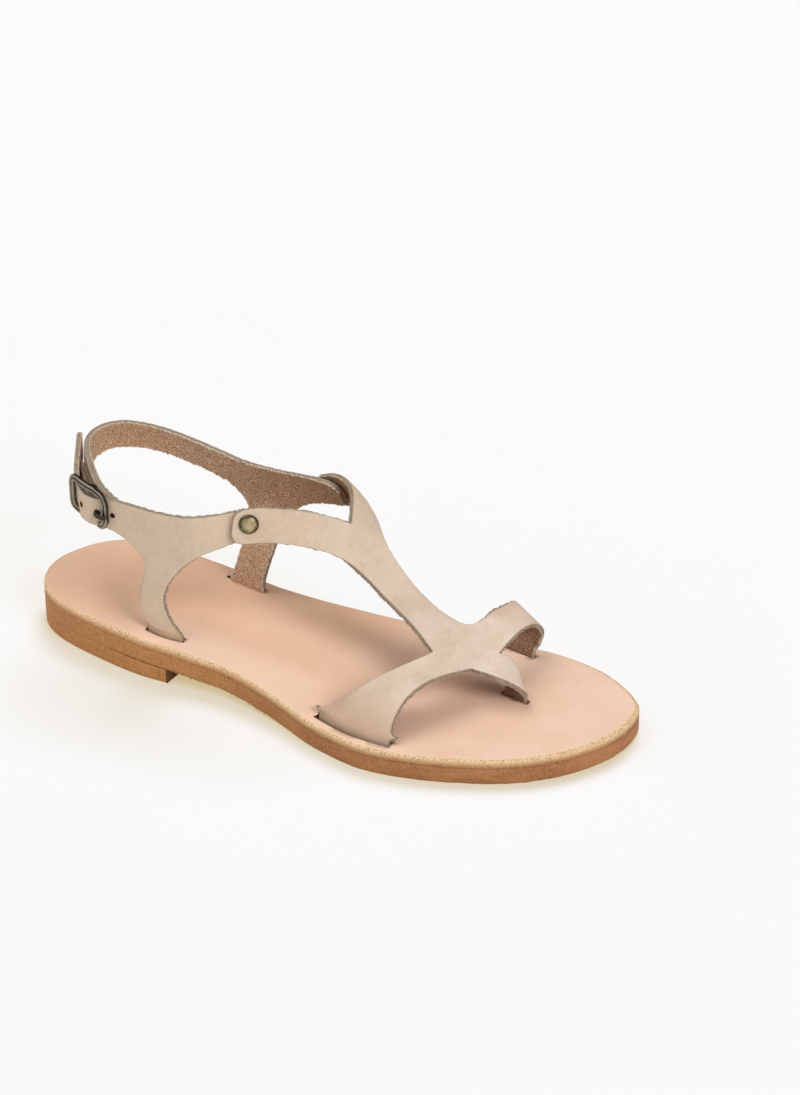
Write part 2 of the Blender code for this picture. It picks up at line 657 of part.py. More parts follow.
# Prong: angle, distance out, radius
PRONG = (
    (14.6, bar_out + 0.8, PRONG_R),
    (13.1, bar_out + 1.5, PRONG_R),
    (12.7, 1.4, PRONG_R),
    (12.4, 2.6, PRONG_R),
    (11.9, 3.7, PRONG_R),
    (10.4, 4.3, PRONG_R),
    (7.0, 4.2, PRONG_R * 0.95),
    (4.4, 4.1, PRONG_R * 0.85),
    (2.4, 3.7, PRONG_R * 0.7),
)
prong_path = [ring(t, o, ring_value(FRONT_ROWS, t, 1)) for t, o, r in PRONG]
tube("buckle_prong", prong_path, [row[2] for row in PRONG], "dark_metal", False)

# Holes along the lateral strap, and the rivet that holds the buckle tab
for i, angle in enumerate(HOLE_ANGLES):
    spot = ring(angle, ring_value(FRONT_ROWS, angle, 3) - 1.0, ring_value(FRONT_ROWS, angle, 1))
    cut(quarter_lateral, bore("punch_%d" % i, spot, ring_normal(angle), HOLE_R, 2.2))
spot = tab_line(TAB_RIVET, two_up)
tab_axis = (tab_line(TAB_RIVET - 4.0, two_up) - tab_line(TAB_RIVET + 4.0, two_up)).cross(Vector((0.0, 0.0, 1.0)))
tab_axis = tab_axis.normalized()
rivet("rivet_buckle", spot, tab_axis, two_up + LEATHER, 2.4, 0.5, 0.25, 0.75, 2.6)
for strap in (quarter_medial, buckle_tab):
    cut(strap, bore("bore_tab_" + strap.name, spot, tab_axis, RIVET_SHANK_R + GAP, 7.0))
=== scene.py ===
import random
from math import acos, cos, pi, radians, sin
import bmesh
import bpy
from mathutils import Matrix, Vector, noise
from mathutils.kdtree import KDTree


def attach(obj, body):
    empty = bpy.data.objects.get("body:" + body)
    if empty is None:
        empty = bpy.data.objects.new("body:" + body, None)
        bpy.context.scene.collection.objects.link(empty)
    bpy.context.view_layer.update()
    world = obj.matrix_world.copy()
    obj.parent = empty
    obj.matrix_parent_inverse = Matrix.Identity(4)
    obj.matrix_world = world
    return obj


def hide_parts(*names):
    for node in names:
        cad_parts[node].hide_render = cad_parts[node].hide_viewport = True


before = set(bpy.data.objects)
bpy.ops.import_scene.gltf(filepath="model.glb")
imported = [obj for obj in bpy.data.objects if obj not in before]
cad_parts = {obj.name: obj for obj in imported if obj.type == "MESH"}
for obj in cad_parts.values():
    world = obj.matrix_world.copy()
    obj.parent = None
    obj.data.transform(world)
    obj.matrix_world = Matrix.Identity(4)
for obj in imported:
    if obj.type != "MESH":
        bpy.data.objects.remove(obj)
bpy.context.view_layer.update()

# Ankle strap sandal, right shoe: the seen leather and metal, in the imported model's frame.
# Tables and sizes are in millimetres, in the sole's frame, as in the part's source.
MM = 0.001
# Sole sizes
SOLE_LENGTH = 248.0
HEEL_TOP = 17.3
BALL_TOP = 10.2
DROP_START = -74.0
DROP_END = 25.0
BOARD = 10.2
INSOLE = 3.6
GAP = 0.3
TOE_SPRING = 0.8
SPRING_START = 88.0
HEEL_BREAST = -49.0
BREAST_ROUGH = 0.45
SEAM_START, SEAM_RUN = -94.0, 26.0
HEEL_CUP, BALL_CUP = 0.55, 0.25
SHANK_FIBRES, SHANK_END = 260, 40.0
# Upper sizes
LEATHER, MEDIAL_LEATHER = 2.0, 2.5
LAP_GAP = 0.5
SLOT_GAP = 0.3
TAB_LEATHER = 1.0
RING_X, RING_Y = -75.0, 2.75
RING_RX, RING_RY = 34.0, 28.3
SLOT_RISES = (2.4, -0.8, -INSOLE)
# Metal sizes
RIVET_CAP_R, RIVET_CAP_H = 3.8, 2.0
RIVET_SHANK_R, RIVET_BACK_H = 1.2, 0.4
RIVET_RAISE = 1.0
BAR_R = 1.0
FRAME_HALF_W = 7.6
FRAME_RAISE = 0.8
FRAME_CORNER = 4.2
RING_MM_PER_DEGREE = 0.585
BAR_PLAY = 0.15
RAIL_CLEAR, RAIL_BOW = 0.5, 1.6
LOWER_RAIL_SINK, LOWER_REAR_RISE = 4.6, 0.14
PRONG_R = 0.95
PUNCH_HALF, PUNCH_SIDES = 2.4, 28
# Rubbed places of the frame: reach and added wear
RUBBED_END, RUBBED_BAR = (5.0, 0.9), (3.5, 0.45)
# Cut edge rows of the leather: share of the thickness, distance out
RIM_ROWS = ((0.05, -0.14), (0.16, -0.03), (0.40, 0.02), (0.66, 0.02), (0.88, -0.03))
ROLL_REACH = 1.6
GRAIN_IN, FLESH_IN = 0.30, 0.16
NAP_BROAD, NAP_FINE, TUFT = 0.55, 0.50, 0.40
FIBRE_SHARE = 0.4

# Sole outline: station, lateral edge, medial edge
SOLE_ROWS = (
    (-121.5, -11.0, 12.0),
    (-115.0, -19.8, 23.0),
    (-104.0, -26.0, 29.8),
    (-86.0, -30.1, 31.6),
    (-62.0, -32.8, 31.0),
    (-40.0, -31.2, 30.2),
    (-22.0, -29.9, 32.6),
    (0.0, -34.0, 37.4),
    (22.0, -41.2, 41.6),
    (44.0, -44.6, 44.8),
    (62.0, -41.4, 47.6),
    (80.0, -34.6, 49.0),
    (97.0, -25.2, 46.9),
    (110.0, -13.5, 41.0),
    (118.5, -1.0, 34.7),
    (122.8, 9.6, 28.6),
)
HEEL_TIP_Y, TOE_TIP_Y = 0.5, 19.2

# Ankle straps: angle round the heel from the lateral side, mid height, half width, outer face from the ring
BACK_ROWS = (
    (3.0, 62.6, 5.9, -2.3),
    (12.0, 63.9, 5.9, -2.9),
    (20.0, 64.7, 5.8, -3.7),
    (28.0, 65.5, 5.8, -4.4),
    (38.0, 66.5, 5.8, -5.4),
    (50.0, 67.5, 5.8, -5.8),
    (62.0, 68.4, 5.7, -5.2),
    (76.0, 69.6, 5.7, -2.9),
    (90.0, 70.9, 5.7, -0.8),
    (104.0, 71.8, 5.6, 0.6),
    (118.0, 71.9, 5.5, 1.2),
    (132.0, 71.1, 5.4, 1.3),
    (146.0, 69.4, 5.3, 1.0),
    (160.0, 67.8, 5.2, 0.8),
    (178.0, 65.4, 5.2, 0.9),
)
FRONT_ROWS = (
    (0.0, 63.7, 6.7, 0.0),
    (8.0, 63.7, 6.0, 1.4),
    (17.0, 64.1, 5.9, 3.9),
    (26.0, 64.9, 6.1, 3.3),
    (34.0, 65.6, 6.2, 1.9),
    (43.0, 66.8, 6.2, 0.8),
    (52.0, 68.0, 6.2, -0.5),
    (62.0, 68.9, 6.2, -1.0),
    (76.0, 70.0, 6.1, -0.1),
    (86.0, 70.7, 6.0, 2.0),
    (90.5, 71.0, 5.4, 3.3),
)
# Buckle frame: angle round the heel, mid height
FRAME_MIDS = ((0.0, 63.7), (8.0, 64.8), (17.0, 65.8), (26.0, 66.6), (34.0, 67.4), (43.0, 67.7))
BAR_ANGLE, FRONT_BAR_ANGLE, REAR_BAR_ANGLE = 18.0, 4.5, 34.0
TAB_END, TAB_RIVET, TAB_HALF, PRONG_SLOT_HALF = 58.0, 51.0, 4.4, 1.9
# Buckle tab: angles of the outer run, angles and rises to the fold, the fold's turns, angles of the inner run
TAB_OUTER = (TAB_END, TAB_RIVET, 43.0, 34.0)
TAB_RISES = ((27.0, 0.6), (21.5, 1.7))
FOLD_TURNS = (90.0, 60.0, 30.0, 0.0, -30.0, -60.0, -90.0)
TAB_INNER = (22.0, 28.0, 34.0, 43.0, TAB_RIVET, TAB_END)
PRONG_SLOT_ROWS = range(6, 11)
# Punched holes: angle, radius
HOLES = ((1.2, 1.1), (11.2, 1.3), (24.0, 1.2))

# Straps as rows of two edge points: edge a x y z, edge b x y z
LATERAL_STEM = (
    (-60.4, -25.6, 49.4, -47.5, -25.6, 46.5),
    (-63.8, -25.6, 38.0, -53.4, -25.6, 37.5),
    (-65.2, -25.6, 29.5, -54.6, -25.6, 30.5),
    (-64.6, -25.5, 23.4, -51.8, -25.5, 24.5),
    (-62.9, -25.4, 19.6, -48.2, -25.3, 19.6),
)
LATERAL_SLOT = ((-62.4, -24.9), (-46.8, -24.4))
LATERAL_SLOT_BULGE = 2.0
LATERAL_TOP = ((-63.0, -25.8, 69.9), (-49.0, -24.4, 69.8))
LATERAL_FRONT = (
    (-40.5, -22.6, 70.8, -39.5, -24.8, 55.0),
    (-32.0, -17.6, 72.4, -31.4, -20.6, 59.0),
)
MEDIAL_STEM = (
    (-48.6, 31.8, 48.6, -34.2, 31.4, 46.0),
    (-50.4, 29.6, 38.0, -36.0, 29.4, 38.0),
    (-52.0, 28.2, 31.0, -37.8, 27.8, 31.0),
    (-53.6, 26.6, 24.0, -39.4, 26.2, 24.0),
    (-54.6, 25.7, 20.0, -40.2, 25.4, 20.0),
)
MEDIAL_SLOT = ((-55.2, 25.4), (-40.4, 25.0))
MEDIAL_SLIT = ((-57.8, 25.4), (-40.8, 25.0))
MEDIAL_TOP = ((-51.0, 33.4, 66.0), (-37.0, 33.4, 66.4))
MEDIAL_BACK = (
    (-59.0, 33.4, 66.8, -57.6, 33.2, 55.4),
    (-67.5, 33.2, 68.4, -67.5, 33.0, 57.8),
)
MEDIAL_FRONT = ((-27.0, 32.6, 68.0, -26.6, 32.4, 56.0),)
# T strap: arms from the Y, the instep strap, then the band, thong and toe loop from the X
ARM_LATERAL = (
    (2.0, 0.6, 74.0, 4.0, -4.8, 61.8),
    (-8.0, -6.2, 76.4, -8.0, -10.8, 63.6),
    (-16.8, -11.7, 77.2, -16.8, -14.9, 63.5),
    (-22.6, -15.3, 76.4, -22.6, -18.6, 62.4),
    (-25.0, -16.9, 75.0, -25.0, -19.4, 63.7),
    (-25.9, -17.8, 72.4, -25.9, -19.4, 66.2),
)
ARM_MEDIAL = (
    (7.2, 14.8, 73.4, 12.6, 24.8, 60.2),
    (1.0, 24.6, 75.0, 7.0, 31.0, 61.2),
    (-7.2, 30.2, 74.2, -4.0, 34.4, 59.6),
    (-13.2, 31.8, 72.8, -13.0, 35.4, 59.2),
    (-18.8, 33.0, 69.8, -18.6, 35.0, 62.0),
)
ARM_MEDIAL_BULGE = (0.8, 2.0, 1.2, 0.3, 0.0)
Y_CROTCH = (11.4, 6.2, 69.6)
INSTEP = (
    (14.8, 0.0, 57.0, 19.4, 18.2, 57.0),
    (22.8, 0.8, 50.6, 25.0, 18.2, 49.6),
    (31.6, 1.3, 43.4, 32.0, 18.2, 42.4),
    (41.4, 1.4, 37.2, 41.4, 18.0, 35.8),
)
X_REAR_LATERAL = (51.0, -1.2, 29.8)
X_REAR_MEDIAL = (53.6, 19.2, 30.2)
X_FRONT_MEDIAL = (70.0, 15.8, 26.0)
X_FRONT_LATERAL = (66.0, 1.5, 25.6)
X_RISE = 0.8
BAND = (
    (45.6, -9.0, 27.8, 60.4, -9.0, 27.2),
    (40.2, -15.6, 25.8, 56.8, -17.4, 27.2),
    (34.4, -22.4, 22.4, 54.0, -26.0, 24.8),
    (28.8, -28.6, 18.0, 53.4, -32.8, 20.8),
    (23.6, -32.8, 13.2, 52.6, -36.9, 13.4),
    (21.8, -34.2, 11.2, 52.8, -37.9, 11.2),
)
BAND_BULGE = (0.0, 0.4, 0.8, 1.6, 2.8, 3.1)
BAND_EARS = ((19.2, -34.0, 13.5), (56.4, -37.0, 13.1))
BAND_SLOT = ((20.8, -34.6), (54.0, -38.2))
BAND_SLOT_BULGE = 3.2
BAND_SLOT_RISES = (-0.4, -2.0, -INSOLE)
THONG = (
    (73.6, 2.6, 24.8, 73.0, 18.0, 25.0),
    (80.0, 4.4, 23.2, 76.0, 17.9, 21.9),
    (84.8, 7.8, 19.2, 79.2, 17.4, 18.0),
    (85.0, 11.8, 14.4, 77.2, 16.8, 14.2),
)
THONG_SLOT = ((83.6, 13.8), (73.4, 15.6))
LOOP = (
    (57.6, 27.0, 30.4, 70.6, 24.0, 28.6),
    (59.8, 34.6, 30.8, 71.4, 34.6, 28.8),
    (61.6, 42.4, 34.0, 72.4, 43.0, 25.9),
    (61.4, 47.4, 28.6, 73.4, 46.8, 20.8),
    (59.4, 47.6, 20.0, 72.8, 46.2, 16.4),
    (58.4, 46.0, 14.4, 71.6, 44.6, 12.9),
)
LOOP_SLOT = ((58.0, 44.8), (71.0, 43.4))
# Curled edges: centre, radius, reach in from the edge, lift
TEE_CURLS = (((59.0, 32.0, 30.8), 13.0, 3.2, 2.6),)


def clamped(value):
    return min(max(value, 0.0), 1.0)


def hermite(knots, values, at):
    """A smooth curve through the values, one per knot."""
    last = len(knots) - 1
    i = 0
    while i < last - 1 and at > knots[i + 1]:
        i += 1

    def slope(k):
        a, b = max(k - 1, 0), min(k + 1, last)
        return (values[b] - values[a]) / (knots[b] - knots[a])

    step = knots[i + 1] - knots[i]
    t = clamped((at - knots[i]) / step)
    h1, h2 = 2 * t**3 - 3 * t**2 + 1, t**3 - 2 * t**2 + t
    h3, h4 = 3 * t**2 - 2 * t**3, t**3 - t**2
    return values[i] * h1 + slope(i) * (step * h2) + values[i + 1] * h3 + slope(i + 1) * (step * h4)


def turn_of(x):
    """Station as an angle, so that the rounded ends are smooth in it."""
    return acos(max(-1.0, min(1.0, -2.0 * x / SOLE_LENGTH)))


OUTLINE_KNOTS = [0.0] + [turn_of(row[0]) for row in SOLE_ROWS] + [pi]
LATERAL_EDGE = [HEEL_TIP_Y] + [row[1] for row in SOLE_ROWS] + [TOE_TIP_Y]
MEDIAL_EDGE = [HEEL_TIP_Y] + [row[2] for row in SOLE_ROWS] + [TOE_TIP_Y]


def edges_at(x):
    turn = turn_of(x)
    return hermite(OUTLINE_KNOTS, LATERAL_EDGE, turn), hermite(OUTLINE_KNOTS, MEDIAL_EDGE, turn)


ENDS = [edges_at(-0.5 * SOLE_LENGTH * cos(pi * i / 200)) for i in range(201)]
MID_Y = 0.5 * (min(e[0] for e in ENDS) + max(e[1] for e in ENDS))


def top_at(x):
    t = clamped((x - DROP_START) / (DROP_END - DROP_START))
    t = t * t * (3.0 - 2.0 * t)
    spring = max(x - SPRING_START, 0.0) / (0.5 * SOLE_LENGTH - SPRING_START)
    return HEEL_TOP + (BALL_TOP - HEEL_TOP) * t + TOE_SPRING * spring**2


def place(point):
    """Sole frame in millimetres to the part's frame in metres."""
    return (point[0] * MM, (point[1] - MID_Y) * MM, point[2] * MM)


def ring(angle, out, z):
    """A point of the ankle ring, out along its normal."""
    t = radians(angle)
    normal = Vector((-sin(t) / RING_RX, -cos(t) / RING_RY)).normalized()
    flat = Vector((RING_X - RING_RX * sin(t), RING_Y - RING_RY * cos(t))) + out * normal
    return Vector((flat.x, flat.y, z))


def ring_value(rows, angle, column):
    return hermite([row[0] for row in rows], [row[column] for row in rows], angle)


def ring_row(row):
    """Upper and lower edge of a strap on the ring."""
    angle, mid, half, out = row
    return ring(angle, out, mid + half), ring(angle, out, mid - half)


def rows_of(table):
    return [(Vector(row[:3]), Vector(row[3:])) for row in table]


def slot_row(slot, rise, grow=0.0):
    """An upright row in a strap's slot, at a height over the insole, longer by grow at both ends."""
    a, b = Vector(slot[0]), Vector(slot[1])
    along = (b - a).normalized() * grow
    a, b = a - along, b + along
    return Vector((a.x, a.y, top_at(a.x) + rise)), Vector((b.x, b.y, top_at(b.x) + rise))


def row_normal(rows, i):
    """The normal of a strap at a row, from the rows beside it."""
    behind, ahead = rows[max(i - 1, 0)], rows[min(i + 1, len(rows) - 1)]
    along = ahead[0] + ahead[1] - behind[0] - behind[1]
    return along.cross(rows[i][1] - rows[i][0]).normalized()


ENDS_ONLY, HALVES = (0.0, 1.0), (0.0, 0.5, 1.0)
UP, LATERAL_OUT = Vector((0.0, 0.0, 1.0)), Vector((0.0, -1.0, 0.0))


class Sheet:
    """A strap cut from one sheet, as faces through rows of points."""

    def __init__(self):
        self.points, self.faces, self.sharp = [], [], []

    def point(self, p, sharp=0.0):
        self.points.append(tuple(p))
        self.sharp.append(sharp)
        return len(self.points) - 1

    def row(self, edges, shares=ENDS_ONLY, bulge=0.0, outward=None):
        """Indices of a row's points from edge a to edge b, the middle moved out by the bulge."""
        a, b = edges
        marks = []
        for s in shares:
            p = a.lerp(b, s)
            if bulge and outward is not None:
                p = p + outward * (bulge * 4.0 * s * (1.0 - s))
            marks.append(self.point(p))
        return marks

    def strip(self, rows):
        """Faces between rows; the next row may have one more point in each cell."""
        for one, two in zip(rows, rows[1:]):
            for c in range(len(one) - 1):
                if len(one) == len(two):
                    self.faces.append((one[c], two[c], two[c + 1], one[c + 1]))
                else:
                    self.faces.append((one[c], *two[2 * c:2 * c + 3], one[c + 1]))

    def slot(self, slot, shares=ENDS_ONLY, bulge=0.0, outward=None, swap=False, rises=SLOT_RISES):
        """The rows that take a strap through its slot."""
        rows = [self.row(slot_row(slot, rise), shares, bulge, outward) for rise in rises]
        return [marks[::-1] for marks in rows] if swap else rows


# Fine meshes
def linked(name, data):
    made = bpy.data.objects.new(name, data)
    bpy.context.collection.objects.link(made)
    return made


def drop(made):
    shape = made.data
    bpy.data.objects.remove(made)
    bpy.data.meshes.remove(shape)


def evaluated(made):
    """A new mesh with the object's modifiers applied."""
    return bpy.data.meshes.new_from_object(made.evaluated_get(bpy.context.evaluated_depsgraph_get()))


def fine_cage(sheet, level, flip):
    """The sheet's quads subdivided: points in millimetres and faces."""
    faces = [f[::-1] for f in sheet.faces] if flip else sheet.faces
    cage = bpy.data.meshes.new("cage")
    cage.from_pydata([tuple(p) for p in sheet.points], [], faces)
    cage.attributes.new("crease_vert", "FLOAT", "POINT").data.foreach_set("value", sheet.sharp)
    holder = linked("cage", cage)
    smooth = holder.modifiers.new("smooth", "SUBSURF")
    smooth.levels = smooth.render_levels = level
    smooth.boundary_smooth = "PRESERVE_CORNERS"
    shape = evaluated(holder)
    points = [v.co.copy() for v in shape.vertices]
    found = [tuple(p.vertices) for p in shape.polygons]
    drop(holder)
    bpy.data.meshes.remove(shape)
    return points, found


def normals_of(points, faces):
    normals = [Vector() for p in points]
    for face in faces:
        across = (points[face[2]] - points[face[0]]).cross(points[face[-1]] - points[face[1]])
        for mark in face:
            normals[mark] += across
    return [n.normalized() for n in normals]


def border_of(faces):
    """Edges with one face only, in that face's direction."""
    sides = {}
    for face in faces:
        for a, b in zip(face, face[1:] + face[:1]):
            sides.setdefault((min(a, b), max(a, b)), []).append((a, b))
    return [pair[0] for pair in sides.values() if len(pair) == 1]


def both_layers(faces, count):
    """The faces, and the same turned over for a second layer of points."""
    return list(faces) + [tuple(m + count for m in f[::-1]) for f in faces]


def add_piece(name, points, faces, kinds, paints, marks=None):
    """A piece in the part's frame; kinds are material numbers by face, marks are named numbers by point."""
    mesh = bpy.data.meshes.new(name)
    mesh.from_pydata([place(p) for p in points], [], faces)
    for paint in paints:
        mesh.materials.append(paint)
    mesh.polygons.foreach_set("material_index", kinds)
    mesh.polygons.foreach_set("use_smooth", [True] * len(faces))
    for key, values in (marks or {}).items():
        mesh.attributes.new(key, "FLOAT", "POINT").data.foreach_set("value", values)
    mesh.update()
    return linked(name, mesh)


def stands_for(made, node):
    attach(made, "root")
    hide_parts(node)


def wobble(p, scale, seed):
    return noise.noise(Vector(p) * scale + Vector((seed, 1.7 * seed, -seed)))


def curled(points, normals, away, curls):
    """Points near the given places bent up towards the edge."""
    moved = []
    for p, n, d in zip(points, normals, away):
        rise = 0.0
        for centre, radius, reach, lift in curls:
            near = 1.0 - (p - Vector(centre)).length / radius
            if near > 0.0 and d < reach:
                rise += lift * (1.0 - d / reach) ** 2 * near * near * (3.0 - 2.0 * near)
        moved.append(p + n * rise)
    return moved


loose_fibres = {}


def fibre(root, tip, half):
    """A thin closed spike as four points."""
    along = tip - root
    side = along.orthogonal().normalized() * half
    other = along.normalized().cross(side)
    return (root + side, root - side * 0.5 + other * 0.87, root - side * 0.5 - other * 0.87, tip)


def add_fibres(made, spikes, kind, marks):
    """Adds spikes to a piece, with a material number and named numbers for their points."""
    shape = bmesh.new()
    shape.from_mesh(made.data)
    layers = [(shape.verts.layers.float[key], value) for key, value in marks.items()]
    for spike in spikes:
        corners = [shape.verts.new(place(p)) for p in spike]
        for corner in corners:
            for which, value in layers:
                corner[which] = value
        for order in ((0, 1, 3), (1, 2, 3), (2, 0, 3), (2, 1, 0)):
            face = shape.faces.new([corners[k] for k in order])
            face.material_index = kind
            face.smooth = True
    shape.to_mesh(made.data)
    shape.free()


def thick(name, sheet, thickness, paints, flip=False, level=4, roll=0.14, wave=0.10, curls=()):
    """A leather strap from a sheet: grain face, flesh face and a rounded, fibrous cut edge."""
    points, faces = fine_cage(sheet, level, flip)
    count = len(points)
    normals = normals_of(points, faces)
    border = border_of(faces)
    after = dict(border)
    before = {b: a for a, b in border}
    tree = KDTree(len(after))
    for mark in after:
        tree.insert(points[mark], mark)
    tree.balance()
    away = [tree.find(p)[2] for p in points]
    points = curled(points, normals, away, curls)
    normals = normals_of(points, faces)
    outward = {}
    for mark in after:
        along = (points[after[mark]] - points[before[mark]]).normalized()
        outward[mark] = along.cross(normals[mark]).normalized()
    grain = []
    for p, n, d in zip(points, normals, away):
        waves = wave * (wobble(p, 0.11, 3.0) + 0.5 * wobble(p, 0.31, 8.0))
        grain.append(p + n * (waves - roll * max(0.0, 1.0 - d / ROLL_REACH) ** 2))
    flesh = [p - n * (thickness + 0.05 * wobble(p, 0.6, 5.0)) for p, n in zip(points, normals)]
    all_points = grain + flesh
    near = away + away
    across = [0.0] * count + [1.0] * count
    rim = {}
    for mark in after:
        rows = [mark]
        out = outward[mark]
        nap = NAP_BROAD * wobble(points[mark], 0.75, 11.0) + NAP_FINE * wobble(points[mark], 1.9, 4.0)
        all_points[mark] = all_points[mark] - out * GRAIN_IN
        all_points[count + mark] = all_points[count + mark] - out * (FLESH_IN - nap)
        for share, step in RIM_ROWS:
            rows.append(len(all_points))
            tuft = TUFT * wobble(points[mark] + normals[mark] * (4.0 * share), 1.7, 7.0)
            reach = step + nap * (0.3 + 0.7 * share) + tuft * share
            all_points.append(points[mark] - normals[mark] * (thickness * share) + out * reach)
            near.append(0.0)
            across.append(share)
        rim[mark] = rows + [count + mark]
    all_faces = both_layers(faces, count)
    kinds = [0] * len(faces) + [1] * len(faces)
    for a, b in border:
        for k in range(len(RIM_ROWS) + 1):
            all_faces.append((rim[b][k], rim[a][k], rim[a][k + 1], rim[b][k + 1]))
            kinds.append(2)
    draw = random.Random(count)
    spikes = []
    for a, b in border:
        if draw.random() > FIBRE_SHARE:
            continue
        root = (points[a] + points[b]) * 0.5 - normals[a] * (thickness * draw.uniform(0.25, 1.0))
        lean = outward[a] * draw.uniform(0.4, 1.0) - normals[a] * draw.uniform(-0.4, 0.7)
        lean += (points[b] - points[a]).normalized() * draw.uniform(-1.0, 1.0)
        tip = root + lean.normalized() * draw.uniform(0.45, 1.1)
        spikes.append(fibre(root - outward[a] * 0.3, tip, draw.uniform(0.08, 0.18)))
    loose_fibres[name] = spikes
    return add_piece(name, all_points, all_faces, kinds, paints, {"edge_mm": near, "across": across})


def cut_away(target, cutters):
    """Cuts the cutters out of the target, and keeps the result as the target's mesh."""
    for cutter in cutters:
        step = target.modifiers.new("cut", "BOOLEAN")
        step.operation = "DIFFERENCE"
        step.solver = "EXACT"
        step.object = cutter
    shape = evaluated(target)
    target.modifiers.clear()
    old = target.data
    target.data = shape
    bpy.data.meshes.remove(old)
    shape.name = target.name
    for cutter in cutters:
        drop(cutter)


def layer(name, rows, paints, kinds_of, end=None, stations=120, columns=28, dish=False, seam_row=None):
    """A sole layer inside the outline. Rows are a height function, an inset, a depth mark and a roughness."""
    stop = pi if end is None else turn_of(end)
    plan = []
    for i in range(stations + 1):
        x = -0.5 * SOLE_LENGTH * cos(stop * i / stations)
        plan.append((x, *edges_at(x)))
    edge = [(x, low) for x, low, high in plan]
    if end is not None:
        x, low, high = plan[-1]
        edge += [(x, low + (high - low) * c / columns) for c in range(1, columns)]
        edge.append((x, high))
    edge += [(x, high) for x, low, high in plan[-2:0:-1]]
    total = len(edge)
    inward = []
    for i, (x, y) in enumerate(edge):
        ahead, behind = edge[(i + 1) % total], edge[i - 1]
        along = Vector((ahead[0] - behind[0], ahead[1] - behind[1], 0.0)).normalized()
        inward.append(Vector((-along.y, along.x, 0.0)))
    points, depths, seams = [], [], []
    for r, (height, inset, depth, rough) in enumerate(rows):
        for k, ((x, y), turn) in enumerate(zip(edge, inward)):
            if end is not None and stations <= k <= stations + columns:
                # From the breast on, the rest of the row is this rough too
                rough = BREAST_ROUGH
            p = Vector((x, y, 0.0)) + turn * inset(x)
            p += turn * (rough * wobble((x, y, 3.0 * r), 0.7, 2.0))
            p.z = height(x) + 0.5 * rough * wobble((x, y, 0.0), 1.3, 6.0 + r)
            points.append(p)
            depths.append(depth)
            seams.append(clamped((x - SEAM_START) / SEAM_RUN) if r == seam_row else 0.0)
    faces, kinds = [], []
    for r in range(len(rows) - 1):
        for i in range(total):
            j = (i + 1) % total
            faces.append((r * total + j, r * total + i, (r + 1) * total + i, (r + 1) * total + j))
            kinds.append(kinds_of[0])
    for base, flip in ((0, False), ((len(rows) - 1) * total, True)):
        lines = []
        for i in range(stations + 1):
            if i == 0 or (i == stations and end is None):
                lines.append([base + i])
                continue
            low, high = base + i, base + total - i
            line = [low]
            if i == stations:
                line += [low + c for c in range(1, columns)]
            else:
                for c in range(1, columns):
                    s = c / columns
                    p = points[low].lerp(points[high], s)
                    if dish and not flip:
                        p.z += cup(p.x) * (1.0 - (2.0 * s - 1.0) ** 4) + 0.06 * wobble(p, 0.12, 9.0)
                    line.append(len(points))
                    points.append(p)
                    depths.append(0.0 if not flip else rows[-1][2])
                    seams.append(0.0)
            lines.append(line + [high])
        for one, two in zip(lines, lines[1:]):
            for c in range(columns):
                if len(one) == 1:
                    face = (one[0], two[c], two[c + 1])
                elif len(two) == 1:
                    face = (one[c], two[0], one[c + 1])
                else:
                    face = (one[c], two[c], two[c + 1], one[c + 1])
                faces.append(face[::-1] if flip else face)
                kinds.append(kinds_of[2] if flip else kinds_of[1])
    return add_piece(name, points, faces, kinds, paints, {"depth": depths, "seam": seams})


def cup(x):
    """How deep the insole is pressed at a station."""
    heel = max(0.0, 1.0 - ((x + 88.0) / 44.0) ** 2)
    ball = max(0.0, 1.0 - ((x - 48.0) / 50.0) ** 2)
    return -HEEL_CUP * heel - BALL_CUP * ball


# Colours and materials
def linear(red, green, blue):
    """A colour seen on screen, 0 to 255, as the renderer's numbers."""
    made = []
    for value in (red, green, blue):
        value /= 255.0
        made.append(value / 12.92 if value <= 0.04045 else ((value + 0.055) / 1.055) ** 2.4)
    return (*made, 1.0)


